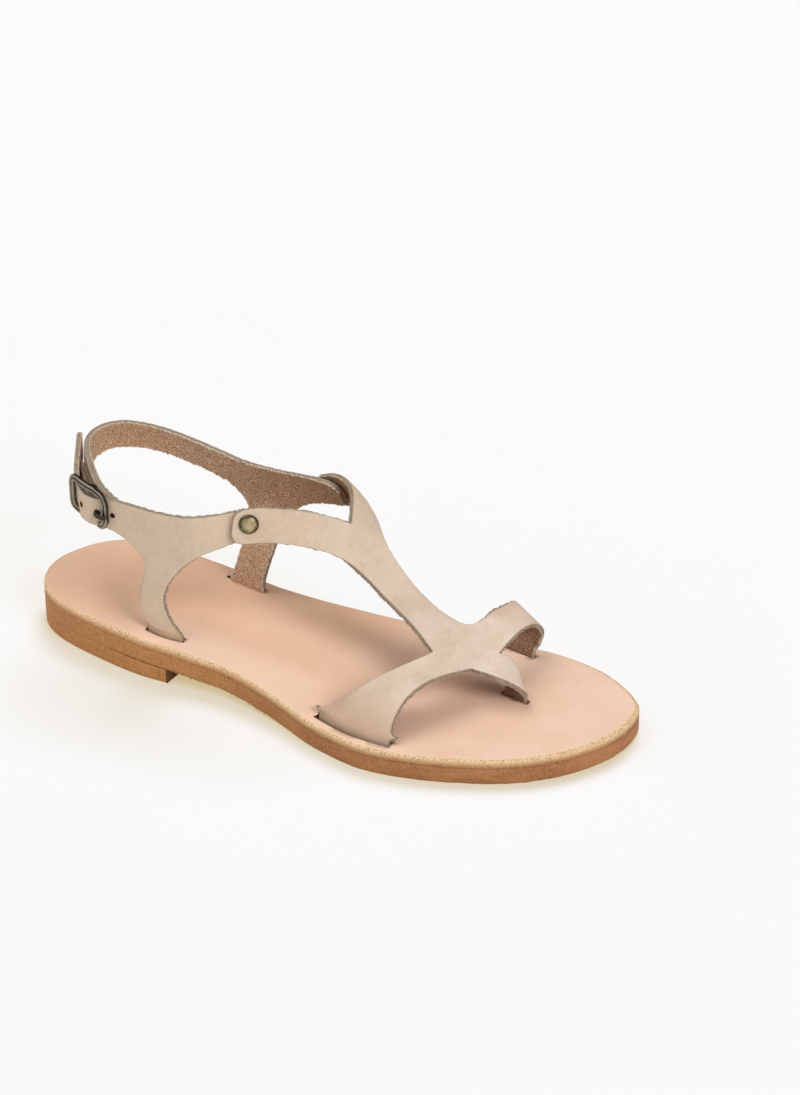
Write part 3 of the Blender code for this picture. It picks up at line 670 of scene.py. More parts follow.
class Paint:
    """A procedural material with its coordinates in millimetres, built up from a base colour.
    Colours of three numbers are screen colours, 0 to 255; those of four are the renderer's own."""

    def __init__(self, name, rough, metal=0.0, **sockets):
        self.material = bpy.data.materials.new(name)
        self.material.use_nodes = True
        self.nodes = self.material.node_tree.nodes
        self.links = self.material.node_tree.links
        self.shader = self.nodes["Principled BSDF"]
        sockets.update(Roughness=rough, Metallic=metal)
        for key, value in sockets.items():
            self.put(value, self.shader.inputs[key.replace("_", " ")])
        self.space = self.node("TexCoord", "Object", {})
        self.base = None

    def put(self, value, socket):
        if hasattr(value, "is_output"):
            self.links.new(value, socket)
        else:
            socket.default_value = value

    def node(self, kind, out, inputs, **settings):
        """A new node's output; inputs are sockets or constants by name or number."""
        made = self.nodes.new("ShaderNode" + kind)
        for key, value in settings.items():
            setattr(made, key, value)
        for key, value in inputs.items():
            self.put(value, made.inputs[key])
        return made.outputs[out]

    def scaled(self, sizes):
        return self.node("Mapping", 0, {"Vector": self.space, "Scale": [1000.0 / s for s in sizes]})

    def noise(self, size, detail, rough, stretch=(1.0, 1.0, 1.0)):
        """Noise with features of a size in millimetres, longer along stretched axes."""
        where = self.scaled([size * s for s in stretch])
        inputs = {"Vector": where, "Scale": 1.0, "Detail": detail, "Roughness": rough}
        return self.node("TexNoise", "Fac", inputs)

    def mark(self, name):
        return self.node("Attribute", "Fac", {}, attribute_name=name)

    def span(self, value, low, high, to_low=0.0, to_high=1.0):
        ends = {"From Min": low, "From Max": high, "To Min": to_low, "To Max": to_high}
        return self.node("MapRange", "Result", {"Value": value, **ends}, interpolation_type="SMOOTHSTEP")

    def along(self, axis, low, high, most=1.0):
        """A share that grows from low to high along an axis of the part."""
        where = self.node("SeparateXYZ", axis, {0: self.scaled((1.0, 1.0, 1.0))})
        return self.span(where, low, high, 0.0, most)

    def math(self, kind, one, two):
        return self.node("Math", 0, {0: one, 1: two}, operation=kind)

    def both(self, one, two):
        return self.math("MULTIPLY", one, two)

    def mix(self, share, one, two, kind="MIX"):
        one, two = (linear(*c) if isinstance(c, tuple) and len(c) == 3 else c for c in (one, two))
        return self.node("Mix", 2, {"Factor": share, 6: one, 7: two}, data_type="RGBA", blend_type=kind)

    def over(self, share, colour):
        """Lays a colour over the base."""
        self.base = self.mix(share, self.base, colour)

    def tint(self, share, factors):
        """Multiplies the base by factors for red, green and blue."""
        self.base = self.mix(share, self.base, (*factors, 1.0), "MULTIPLY")

    def patches(self, size, detail, rough, low, high, colour, most=1.0, stretch=(1.0, 1.0, 1.0)):
        """Lays noise patches of a colour over the base and gives their noise back."""
        made = self.noise(size, detail, rough, stretch)
        self.over(self.span(made, low, high, 0.0, most), colour)
        return made

    def bump(self, height, distance, strength=1.0, base=None):
        inputs = {"Strength": strength, "Distance": distance * MM, "Height": height}
        if base is not None:
            inputs["Normal"] = base
        return self.node("Bump", "Normal", inputs)

    def done(self, normal=None, rough=None):
        for value, key in ((self.base, "Base Color"), (normal, "Normal"), (rough, "Roughness")):
            if value is not None:
                self.put(value, self.shader.inputs[key])
        return self.material


def nubuck_grain():
    paint = Paint("nubuck_grain", 0.86, Sheen_Weight=0.18, Sheen_Roughness=0.45, Specular_IOR_Level=0.25)
    paint.base = paint.mix(paint.along(0, -20.0, 60.0), (214, 191, 166), (222, 204, 189))
    paint.patches(16.0, 4.0, 0.6, 0.35, 0.7, (204, 182, 159), 0.8)
    nap = paint.patches(2.2, 5.0, 0.7, 0.35, 0.75, (232, 217, 200), 0.35)
    paint.patches(0.35, 2.0, 0.6, 0.52, 0.8, (176, 150, 126), 0.4)
    paint.over(paint.span(paint.mark("edge_mm"), 0.0, 0.5, 0.16, 0.0), (188, 164, 140))
    # Painted shade: the grain side is darker low on the outer side, where the band and the lateral stem go
    # down into their slots.
    shaded_outer_foot = paint.both(paint.along(2, 26.0, 14.0), paint.along(1, -16.0, -31.0))
    paint.tint(shaded_outer_foot, (0.80, 0.72, 0.64))
    # Painted light: the thong is lighter.
    thong = paint.both(paint.along(0, 64.0, 72.0), paint.along(1, 26.0, 20.0))
    paint.tint(thong, (1.12, 1.15, 1.24))
    # Painted shade: the toe loop is darker and warmer.
    shaded_toe_loop = paint.along(1, 24.0, 34.0)
    paint.tint(shaded_toe_loop, (0.95, 0.90, 0.88))
    lift = paint.bump(paint.noise(0.45, 3.0, 0.65), 0.05)
    return paint.done(paint.bump(nap, 0.10, 0.6, lift))


def nubuck_flesh():
    paint = Paint("nubuck_flesh", 0.95, Sheen_Weight=0.2, Sheen_Roughness=0.6, Specular_IOR_Level=0.15)
    paint.base = (108, 78, 58)
    speck = paint.patches(0.45, 3.0, 0.75, 0.40, 0.60, (216, 182, 150))
    paint.patches(9.0, 3.0, 0.5, 0.35, 0.7, (158, 124, 98), 0.35)
    paint.over(paint.span(paint.mark("edge_mm"), 0.0, 0.8, 0.7, 0.0), (206, 188, 168))
    # Painted shade: the flesh side is darker high up in the straps forward of the ankle ring.
    shaded_ankle_front = paint.both(paint.along(0, -75.0, -30.0), paint.along(2, 48.0, 58.0))
    paint.tint(shaded_ankle_front, (0.74, 0.64, 0.54))
    # Painted shade: the flesh side is darker at the front, inside the band, thong and toe loop.
    shaded_toes = paint.along(0, 30.0, 50.0)
    paint.tint(shaded_toes, (0.66, 0.60, 0.54))
    # Painted light: the flesh side is lighter at the back of the heel.
    heel = paint.along(0, -60.0, -100.0)
    paint.tint(heel, (1.16, 1.11, 1.07))
    # Painted light: the flesh side is much lighter low on the quarters' stems.
    stem = paint.both(paint.along(0, -20.0, -35.0), paint.along(2, 50.0, 42.0))
    paint.tint(stem, (1.50, 1.58, 1.70))
    return paint.done(paint.bump(speck, 0.32))


def nubuck_cut():
    paint = Paint("nubuck_cut", 0.92, Specular_IOR_Level=0.2)
    paint.base = (118, 100, 84)
    speck = paint.patches(0.5, 4.0, 0.8, 0.38, 0.62, (190, 173, 155))
    across = paint.mark("across")
    dots = paint.span(paint.noise(0.7, 2.0, 0.7), 0.40, 0.56)
    paint.over(paint.both(paint.span(across, 0.74, 0.92), dots), (228, 212, 190))
    paint.over(paint.span(across, 0.0, 0.22, 0.9, 0.0), (200, 180, 158))
    return paint.done(paint.bump(speck, 0.25))


def shaded_raw_cut(name, deep, pale):
    """Raw cut leather darkened with painted shade, for slot walls, punched hole walls and a shaded edge."""
    paint = Paint(name, 0.95, Specular_IOR_Level=0.15)
    paint.base = deep
    speck = paint.patches(0.5, 3.0, 0.7, 0.36, 0.64, pale)
    return paint.done(paint.bump(speck, 0.2))


def insole_top():
    paint = Paint("insole_grain", 0.58, Specular_IOR_Level=0.35)
    fore = paint.along(0, -20.0, 50.0)
    light = paint.mix(fore, (239, 200, 172), (245, 213, 192))
    deep = paint.mix(fore, (232, 188, 158), (238, 201, 176))
    paint.base = light
    cloud = paint.patches(26.0, 4.0, 0.55, 0.3, 0.72, deep)
    fine = paint.patches(3.0, 5.0, 0.7, 0.4, 0.75, light, 0.3)
    paint.patches(0.5, 2.0, 0.6, 0.56, 0.8, (206, 162, 134), 0.3)
    paint.over(paint.along(0, -60.0, -112.0, 0.3), (228, 188, 162))
    # Painted light: the insole is paler along its outer side, from the heel to the ball.
    lit_outer_side = paint.both(paint.along(1, -9.0, -22.0), paint.along(0, 30.0, 0.0))
    paint.over(paint.both(lit_outer_side, paint.along(0, -85.0, -50.0, 0.65)), (247, 216, 196))
    lift = paint.bump(paint.noise(0.7, 3.0, 0.6), 0.03)
    lift = paint.bump(fine, 0.06, 0.5, lift)
    return paint.done(lift, paint.span(cloud, 0.3, 0.7, 0.5, 0.66))


def sole_side(name, breast):
    """Cut and ground sole leather: a thin pale fuzzy band at the top, brown below with upright fibres."""
    paint = Paint(name, 0.72, Specular_IOR_Level=0.3)
    fore = paint.along(0, -80.0, 70.0)
    tan = paint.mix(fore, (210, 152, 96), (188, 130, 86))
    dark = paint.mix(fore, (160, 106, 62), (136, 88, 54))
    paint.base = dark
    grain = paint.patches(0.6, 4.0, 0.8, 0.36, 0.64, tan)
    fibre_lines = paint.patches(0.6, 3.0, 0.6, 0.5, 0.75, dark, 0.45, (1.0, 1.0, 5.0))
    paint.patches(14.0, 3.0, 0.5, 0.4, 0.7, (196, 142, 92), 0.35, (1.0, 1.0, 0.4))
    frayed = paint.span(paint.noise(0.9, 4.0, 0.8), 0.3, 0.7, -1.1, 1.1)
    ragged = paint.math("ADD", paint.mark("depth"), frayed)
    speck = paint.span(paint.noise(0.9, 3.0, 0.8), 0.36, 0.58)
    straw = paint.mix(speck, (196, 150, 102), (240, 212, 172))
    paint.over(paint.span(ragged, 0.6, 3.4, 1.0, 0.0), straw)
    paint.over(paint.span(paint.mark("seam"), 0.3, 0.8, 0.0, 0.8), (84, 52, 32))
    lift = paint.bump(grain, 0.2)
    lift = paint.bump(fibre_lines, 0.14, 0.7, lift)
    if breast:
        # The heel breast is painted darker, in speckles.
        darker_breast = paint.mix(paint.span(grain, 0.4, 0.7), (70, 44, 28), (122, 80, 50))
        paint.over(paint.along(0, HEEL_BREAST - 1.1, HEEL_BREAST - 0.4), darker_breast)
    return paint.done(lift)


def sole_under():
    paint = Paint("sole_under", 0.6)
    paint.base = (186, 136, 92)
    paint.patches(20.0, 4.0, 0.6, 0.3, 0.7, (170, 118, 76))
    pore = paint.patches(0.6, 3.0, 0.7, 0.5, 0.8, (142, 96, 60), 0.5)
    return paint.done(paint.bump(pore, 0.08))


def old_metal(name, bright, dull, rough):
    """Antiqued metal: a dull patina with rubbed, brighter high places."""
    paint = Paint(name, rough, 0.8)
    paint.base = dull
    cloud = paint.noise(1.3, 4.0, 0.65)
    worn = paint.math("ADD", paint.mark("worn"), paint.span(cloud, 0.2, 0.8, -0.2, 0.2))
    paint.over(paint.span(worn, 0.25, 0.85), bright)
    pit = paint.patches(0.35, 3.0, 0.7, 0.55, 0.8, dull, 0.5)
    return paint.done(paint.bump(pit, 0.04), paint.span(cloud, 0.3, 0.7, rough - 0.08, rough + 0.14))


leather = [nubuck_grain(), nubuck_flesh(), nubuck_cut()]
side_paint = sole_side("sole_side", False)
heel_paint = sole_side("heel_side", True)
# Painted shade: slot and punched hole walls are raw leather painted dark brown.
shaded_slot_paint = shaded_raw_cut("leather_slot_wall_shaded", (66, 42, 28), (122, 82, 58))
# Painted shade: the buckle tab's cut edge is darker than the straps', for the shaded gap beside the buckle.
shaded_tab_edge = shaded_raw_cut("leather_tab_edge_shaded", (84, 70, 56), (134, 116, 98))
insole_paints = [insole_top(), side_paint, shaded_slot_paint]
under_paint = sole_under()
brass = old_metal("antique_brass", (206, 188, 146), (84, 74, 50), 0.40)
metal = old_metal("antique_metal", (158, 148, 130), (58, 52, 44), 0.40)


# Sole pieces
def rim_width(x):
    """Width of the insole's rounded rim, wider at the toe."""
    t = clamped((x - 40.0) / 80.0)
    return 1.0 + 0.9 * t * t


def below(depth):
    return lambda x: top_at(x) - depth


def inset_by(share):
    return lambda x: share * rim_width(x)


def constant(value):
    return lambda x: value


def groove(x):
    """How far the line between board and heel lift is cut in, from the middle of the heel to the breast."""
    return 0.02 + 0.34 * clamped((x + 92.0) / 30.0)


insole_rows = [(below(d), inset_by(i), d, r) for d, i, r in (
    (0.0, 0.80, 0.0), (0.06, 0.52, 0.06), (0.24, 0.24, 0.12), (0.60, 0.06, 0.14), (1.2, 0.0, 0.14),
    (2.0, 0.0, 0.12), (2.9, 0.0, 0.10), (INSOLE, 0.0, 0.08))]
insole = layer("insole_leather", insole_rows, insole_paints, (1, 0, 1), dish=True)
outsole_rows = [(below(INSOLE + 0.01), constant(0.0), INSOLE, 0.05)]
outsole_rows += [(below(d), constant(0.0), d, 0.09) for d in (4.6, 5.8, 7.0, 8.2, 9.2)]
outsole_rows += [(below(9.85), lambda x: 0.3 * groove(x), 9.85, 0.16), (below(BOARD), groove, BOARD, 0.2)]
outsole = layer("outsole_board", outsole_rows, [side_paint, under_paint], (0, 1, 1),
                seam_row=len(outsole_rows) - 1)


def lift_height(share):
    return lambda x: (top_at(x) - BOARD - 0.05) * (1.0 - share)


heel_rows = [(lift_height(0.0), groove, 10.0, 0.04), (lift_height(0.05), constant(0.02), 10.2, 0.07)]
heel_rows += [(lift_height(s), constant(0.0), 10.0 + s, 0.08) for s in (0.2, 0.4, 0.6, 0.8)]
heel_rows += [(lift_height(0.94), constant(0.05), 11.0, 0.06), (lift_height(1.0), constant(0.45), 11.0, 0.0)]
heel_lift = layer("heel_lift_stack", heel_rows, [heel_paint, under_paint], (0, 1, 1), HEEL_BREAST, 90,
                  seam_row=0)
stands_for(insole, "insole")
stands_for(outsole, "outsole")
stands_for(heel_lift, "heel_lift")

# T strap
arm_lateral, arm_medial = rows_of(ARM_LATERAL), rows_of(ARM_MEDIAL)
tee = Sheet()
crotch = tee.point(Y_CROTCH, 1.0)
instep = [tee.row(r) for r in rows_of(INSTEP)]
tee.faces.append((instep[0][0], instep[0][1], crotch))
tee.strip([[crotch, instep[0][0]]] + [tee.row(r) for r in arm_lateral])
arm_out = Vector((0.55, 0.80, 0.25)).normalized()
medial_rows = [tee.row((b, a), HALVES, k, arm_out) for (a, b), k in zip(arm_medial, ARM_MEDIAL_BULGE)]
tee.strip([[instep[0][1], crotch]] + medial_rows)
rear_lat, rear_med = tee.point(X_REAR_LATERAL, 1.0), tee.point(X_REAR_MEDIAL)
front_med, front_lat = tee.point(X_FRONT_MEDIAL, 1.0), tee.point(X_FRONT_LATERAL, 1.0)
mid_lat = tee.point((Vector(X_REAR_LATERAL) + Vector(X_FRONT_LATERAL)) * 0.5 + Vector((0.0, 0.0, X_RISE)))
tee.faces.append((rear_lat, mid_lat, front_lat, front_med, rear_med))
tee.strip(instep + [[rear_lat, rear_med]])
band = rows_of(BAND)
band_out = Vector((BAND_SLOT[1][1] - BAND_SLOT[0][1], BAND_SLOT[0][0] - BAND_SLOT[1][0], 0.0)).normalized()
band_marks = [[rear_lat, mid_lat, front_lat]]
for i, edges in enumerate(band):
    band_marks.append(tee.row(edges, HALVES, BAND_BULGE[i], row_normal(band, i)))
band_marks[-1] = [tee.point(BAND_EARS[0]), *band_marks[-1], tee.point(BAND_EARS[1])]
tee.strip(band_marks)
band_end = tee.slot(BAND_SLOT, HALVES, BAND_SLOT_BULGE, band_out, rises=BAND_SLOT_RISES)
tee.strip([band_marks[-1][1:4]] + band_end)
tee.strip([[front_lat, front_med]] + [tee.row(r) for r in rows_of(THONG)] + tee.slot(THONG_SLOT))
loop_rows = [tee.row((b, a)) for a, b in rows_of(LOOP)]
tee.strip([[front_med, rear_med]] + loop_rows + tee.slot(LOOP_SLOT, swap=True))
t_strap = thick("t_strap_leather", tee, LEATHER, leather, curls=TEE_CURLS)
stands_for(t_strap, "t_strap")


def under(rows, side):
    """Rows one leather and a small gap inside the given strap rows; side is -1 lateral, 1 medial."""
    made = []
    for i, (a, b) in enumerate(rows):
        inward = row_normal(rows, i)
        inward = inward if inward.y * side < 0 else -inward
        made.append((a + inward * (LEATHER + LAP_GAP), b + inward * (LEATHER + LAP_GAP)))
    return made


def lap(rows, side, short, tops, lows):
    """The quarter's front arm under a T strap arm: rows from the arm's end forward, the last one shortened.
    Tops and lows are the shares of the arm's half width that are kept above and below its middle."""
    inner = under(rows, side)
    tip = (inner[2][0].lerp(inner[1][0], short), inner[2][1].lerp(inner[1][1], short))
    made = []
    for (a, b), above, below_mid in zip((inner[3], inner[2], tip), tops, lows):
        middle = (a + b) * 0.5
        made.append((middle.lerp(a, above), middle.lerp(b, below_mid)))
    return made


def quarter(name, stem, slot, upper, front, strap_rows, flip, bulge=0.0, thickness=LEATHER):
    sheet = Sheet()
    *stem_rows, foot = rows_of(stem)
    stem_marks = [sheet.row(r) for r in stem_rows]
    stem_marks.append(sheet.row(foot, HALVES, bulge, LATERAL_OUT))
    top_rear, top_front = sheet.point(upper[0]), sheet.point(upper[1])
    rear, fore = stem_marks[0]
    sheet.faces.append((rear, fore, top_front, top_rear))
    sheet.strip(stem_marks + sheet.slot(slot, HALVES, bulge, LATERAL_OUT))
    sheet.strip([[top_rear, rear]] + [sheet.row(r) for r in strap_rows])
    sheet.strip([[fore, top_front]] + [sheet.row((b, a)) for a, b in front])
    return thick(name, sheet, thickness, leather, flip)


# Quarters
lateral_lap = lap(arm_lateral, -1, 0.55, (0.86, 0.86, 0.6), (0.86, 0.86, 0.7))
medial_lap = lap(arm_medial, 1, 0.02, (0.8, 0.4, -0.25), (0.72, 0.62, 0.5))
quarter_lateral = quarter("quarter_lateral_leather", LATERAL_STEM, LATERAL_SLOT, LATERAL_TOP,
                          rows_of(LATERAL_FRONT) + lateral_lap,
                          [ring_row(row) for row in FRONT_ROWS], False, LATERAL_SLOT_BULGE)
quarter_medial = quarter("quarter_medial_leather", MEDIAL_STEM, MEDIAL_SLOT, MEDIAL_TOP,
                         rows_of(MEDIAL_FRONT) + medial_lap,
                         rows_of(MEDIAL_BACK) + [ring_row(row) for row in BACK_ROWS[::-1]], True,
                         thickness=MEDIAL_LEATHER)
stands_for(quarter_lateral, "quarter_lateral")
stands_for(quarter_medial, "quarter_medial")


def slot_cutter(slot, shares=ENDS_ONLY, bulge=0.0, outward=None, flip=False, grow=SLOT_GAP, thin=0.0,
                near=SLOT_GAP):
    """The strap's own end, grown all round, to cut its slot; thin cuts a longer, narrower slit instead."""
    sheet = Sheet()
    rises = (6.0, 3.0, -INSOLE - 2.0, -INSOLE - 5.0)
    sheet.strip([sheet.row(slot_row(slot, rise, grow), shares, bulge, outward) for rise in rises])
    points, faces = fine_cage(sheet, 3, flip)
    normals = normals_of(points, faces)
    count = len(points)
    far = -LEATHER - SLOT_GAP
    if thin:
        near, far = 0.5 * (thin - LEATHER), -0.5 * (thin + LEATHER)
    whole = [p + n * near for p, n in zip(points, normals)] + [p + n * far for p, n in zip(points, normals)]
    closed = both_layers(faces, count)
    closed += [(b, a, a + count, b + count) for a, b in border_of(faces)]
    return add_piece("slot_cutter", whole, closed, [2] * len(closed), insole_paints)


cut_away(insole, [
    slot_cutter(LATERAL_SLOT, HALVES, LATERAL_SLOT_BULGE, LATERAL_OUT, grow=0.8, near=0.8),
    slot_cutter(MEDIAL_SLOT, flip=True, grow=0.05),
    slot_cutter(MEDIAL_SLIT, flip=True, thin=1.2),
    slot_cutter(BAND_SLOT, HALVES, BAND_SLOT_BULGE, band_out, grow=0.5, near=1.8),
    slot_cutter(THONG_SLOT, grow=0.9),
    slot_cutter(LOOP_SLOT, flip=True),
])


# Turned and swept metal
def turned(name, centre, axis, profile, paints, kind=0, sides=44):
    """A turned body: profile rows are radius, height along the axis and how worn the metal is."""
    axis = Vector(axis).normalized()
    side = axis.orthogonal().normalized()
    other = axis.cross(side)
    points = [Vector(centre) + axis * profile[0][1]]
    worn = [profile[0][2]]
    for radius, height, wear in profile[1:-1]:
        for k in range(sides):
            t = 2 * pi * k / sides
            points.append(Vector(centre) + axis * height + (side * cos(t) + other * sin(t)) * radius)
            worn.append(wear)
    points.append(Vector(centre) + axis * profile[-1][1])
    worn.append(profile[-1][2])
    rings = len(profile) - 2
    faces = []
    for k in range(sides):
        j = (k + 1) % sides
        faces.append((0, 1 + j, 1 + k))
        faces.append((len(points) - 1, 1 + (rings - 1) * sides + k, 1 + (rings - 1) * sides + j))
        for r in range(rings - 1):
            low, high = 1 + r * sides, 1 + (r + 1) * sides
            faces.append((low + k, low + j, high + j, high + k))
    return add_piece(name, points, faces, [kind] * len(faces), paints, {"worn": worn})


def rivet(name, node, centre, axis, grip, cap_r, cap_h, lift, sink, back_r):
    """A domed cap outside, a shank through the leathers and a flat cap inside."""
    inside = -grip - sink
    foot = inside - RIVET_BACK_H
    profile = [(0.0, foot, 0.5), (back_r * 0.3, foot, 0.5), (back_r * 0.72, foot + 0.02, 0.5),
               (back_r * 0.92, foot + 0.14, 0.6), (back_r, foot + 0.4, 0.3), (back_r * 0.97, inside, 0.0),
               (RIVET_SHANK_R, inside, 0.0), (RIVET_SHANK_R, lift, 0.0), (cap_r * 0.93, lift, 0.0),
               (cap_r, lift + 0.10 * cap_h, 0.1)]
    for turn in (10.0, 20.0, 30.0, 40.0, 50.0, 59.0, 67.0, 74.0, 80.0, 86.0):
        t = radians(turn)
        profile.append((cap_r * cos(t), lift + cap_h * (0.1 + 0.9 * sin(t)), 0.1 + 0.7 * sin(t) ** 2))
    profile.append((0.0, lift + cap_h, 0.9))
    made = turned(name, centre, axis, profile, [brass])
    stands_for(made, node)
    return made


# Strap rivets: node, arm, side and radius of the back
STRAP_RIVETS = (("rivet_lateral", arm_lateral, -1, 2.0), ("rivet_medial", arm_medial, 1, 1.5))
for name, rows, side, back_r in STRAP_RIVETS:
    centre = ((rows[2][0] + rows[2][1]) * 0.36 + (rows[3][0] + rows[3][1]) * 0.64) * 0.5
    facing = (rows[2][1] - rows[2][0]).cross(rows[3][0] + rows[3][1] - rows[2][0] - rows[2][1]).normalized()
    facing = facing if facing.y * side > 0 else -facing
    centre += (rows[2][0] - rows[2][1]).normalized() * RIVET_RAISE
    rivet(name + "_brass", name, centre, facing, 2.0 * LEATHER + LAP_GAP, RIVET_CAP_R, RIVET_CAP_H, 0.0, 0.3,
          back_r)


def path_point(path, i, closed):
    return path[i % len(path)] if closed else path[min(max(i, 0), len(path) - 1)]


def smooth_path(path, closed, steps=6):
    """A finer path through the given points."""
    count = len(path)
    made = []
    for i in range(count if closed else count - 1):
        p0, p1, p2, p3 = (path_point(path, i + k, closed) for k in (-1, 0, 1, 2))
        for s in range(steps):
            t = s / steps
            made.append(0.5 * (2.0 * p1 + (p2 - p0) * t + (2.0 * p0 - 5.0 * p1 + 4.0 * p2 - p3) * t**2
                               + (3.0 * p1 - p0 - 3.0 * p2 + p3) * t**3))
    return made if closed else made + [path[-1]]


def swept(path, sizes, section, closed, face):
    """Points, faces and wear of a bar. Section rows are across, out, wear; face is the way out."""
    points, faces, worn = [], [], []
    count, sides = len(path), len(section)
    for i, p in enumerate(path):
        along = (path_point(path, i + 1, closed) - path_point(path, i - 1, closed)).normalized()
        out = (face - along * face.dot(along)).normalized()
        across = along.cross(out)
        for u, v, wear in section:
            points.append(p + (across * u + out * v) * sizes[i])
            worn.append(wear)
    for i in range(count if closed else count - 1):
        j = (i + 1) % count
        for k in range(sides):
            m = (k + 1) % sides
            faces.append((i * sides + k, i * sides + m, j * sides + m, j * sides + k))
    if not closed:
        faces.append(tuple(range(sides))[::-1])
        faces.append(tuple(range((count - 1) * sides, count * sides)))
    return points, faces, worn


# Buckle on the ankle ring
def ring_normal(angle):
    return (ring(angle, 1.0, 0.0) - ring(angle, 0.0, 0.0)).normalized()


bar_mid = ring_value(FRAME_MIDS, BAR_ANGLE, 1)
bar_out = ring_value(BACK_ROWS, BAR_ANGLE, 3) + GAP + TAB_LEATHER + BAR_PLAY + BAR_R
bar_centre = ring(BAR_ANGLE, bar_out, bar_mid)
forward = (ring(BAR_ANGLE - 2.0, 0.0, 0.0) - ring(BAR_ANGLE, 0.0, 0.0)).normalized()
outward = ring_normal(BAR_ANGLE)
fold_r = BAR_R + BAR_PLAY + TAB_LEATHER


def tab_row(centre_line):
    marks = []
    for half in (TAB_HALF, PRONG_SLOT_HALF, -PRONG_SLOT_HALF, -TAB_HALF):
        marks.append(tab.point(centre_line + Vector((0.0, 0.0, half))))
    return marks


def tab_line(angle, lift):
    return ring(angle, ring_value(BACK_ROWS, angle, 3) + lift, ring_value(BACK_ROWS, angle, 1))


tab = Sheet()
two_up = 2.0 * GAP + 2.0 * TAB_LEATHER
tab_rows = [tab_row(tab_line(t, two_up)) for t in TAB_OUTER]
tab_rows += [tab_row(tab_line(t, two_up + rise)) for t, rise in TAB_RISES]
for turn in FOLD_TURNS:
    t = radians(turn)
    tab_rows.append(tab_row(bar_centre + forward * (fold_r * cos(t)) + outward * (fold_r * sin(t))))
tab_rows += [tab_row(tab_line(t, GAP)) for t in TAB_INNER]
for i, (one, two) in enumerate(zip(tab_rows, tab_rows[1:])):
    for c in range(3):
        if c == 1 and i in PRONG_SLOT_ROWS:
            continue
        tab.faces.append((one[c], two[c], two[c + 1], one[c + 1]))
tab_paints = [leather[0], leather[1], shaded_tab_edge]
buckle_tab = thick("buckle_tab_leather", tab, TAB_LEATHER, tab_paints, True, 3, 0.06, 0.04)
stands_for(buckle_tab, "buckle_tab")


def rail_out(angle):
    s = (angle - FRONT_BAR_ANGLE) / (REAR_BAR_ANGLE - FRONT_BAR_ANGLE)
    front = ring_value(FRONT_ROWS, FRONT_BAR_ANGLE, 3) + RAIL_CLEAR + BAR_R
    rear = ring_value(FRONT_ROWS, REAR_BAR_ANGLE, 3) + RAIL_CLEAR + BAR_R
    return front + (rear - front) * s + RAIL_BOW * s * (1.0 - s)


def rail_point(angle, up, sink=0.0):
    if up < 0.0:
        up *= 1.0 - LOWER_REAR_RISE * (angle - FRONT_BAR_ANGLE) / (REAR_BAR_ANGLE - FRONT_BAR_ANGLE)
    return ring(angle, rail_out(angle) - sink, ring_value(FRAME_MIDS, angle, 1) + FRAME_RAISE + up)


corner_deg = FRAME_CORNER / RING_MM_PER_DEGREE
side_w = FRAME_HALF_W - FRAME_CORNER
frame_path = []
for angle, sign in ((FRONT_BAR_ANGLE, 1), (REAR_BAR_ANGLE, -1)):
    for up in (-side_w, -0.5 * side_w, 0.0, 0.5 * side_w, side_w):
        frame_path.append(rail_point(angle, sign * up))
    frame_path.append(rail_point(angle + sign * 0.3 * corner_deg, sign * (side_w + 0.7 * FRAME_CORNER)))
    for step in (0.0, 0.2, 0.4, 0.6, 0.8, 1.0):
        run = REAR_BAR_ANGLE - FRONT_BAR_ANGLE - 2.0 * corner_deg
        sink = LOWER_RAIL_SINK * sin(pi * (0.1 + 0.8 * step)) if sign < 0 else 0.0
        frame_path.append(rail_point(angle + sign * (corner_deg + run * step), sign * FRAME_HALF_W, sink))
    other = REAR_BAR_ANGLE if sign > 0 else FRONT_BAR_ANGLE
    frame_path.append(rail_point(other - sign * 0.3 * corner_deg, sign * (side_w + 0.7 * FRAME_CORNER)))
frame_face = ring_normal(0.5 * (FRONT_BAR_ANGLE + REAR_BAR_ANGLE))

# Frame section: across, out, wear
FRAME_SECTION = (
    (-1.30, -0.70, 0.1), (-1.30, 0.25, 0.3), (-1.16, 0.62, 0.7), (-0.84, 0.80, 1.0), (-0.52, 0.72, 0.7),
    (-0.26, 0.42, 0.1), (0.0, 0.34, 0.0), (0.26, 0.42, 0.1), (0.52, 0.72, 0.7), (0.84, 0.80, 1.0),
    (1.16, 0.62, 0.7), (1.30, 0.25, 0.3), (1.30, -0.70, 0.1), (1.0, -0.90, 0.1), (-1.0, -0.90, 0.1),
)
ROUND_SECTION = tuple((cos(2 * pi * k / 16), sin(2 * pi * k / 16), 0.3) for k in range(16))


def join_bars(name, node, bars):
    points, faces, worn = [], [], []
    for more_points, more_faces, more_worn in bars:
        start = len(points)
        points += more_points
        faces += [tuple(m + start for m in f) for f in more_faces]
        worn += more_worn
    made = add_piece(name, points, faces, [0] * len(faces), [metal], {"worn": worn})
    stands_for(made, node)
    return made


path = smooth_path(frame_path, True)
rails = swept(path, [BAR_R] * len(path), FRAME_SECTION, True, frame_face)
rubbed_end = rail_point(FRONT_BAR_ANGLE, -FRAME_HALF_W)
rubbed_bar = rail_point(REAR_BAR_ANGLE, 0.0)
for k, p in enumerate(rails[0]):
    near_end = max(0.0, 1.0 - (p - rubbed_end).length / RUBBED_END[0])
    near_bar = max(0.0, 1.0 - Vector((p.x - rubbed_bar.x, p.y - rubbed_bar.y)).length / RUBBED_BAR[0])
    rails[2][k] += RUBBED_END[1] * near_end + RUBBED_BAR[1] * near_bar
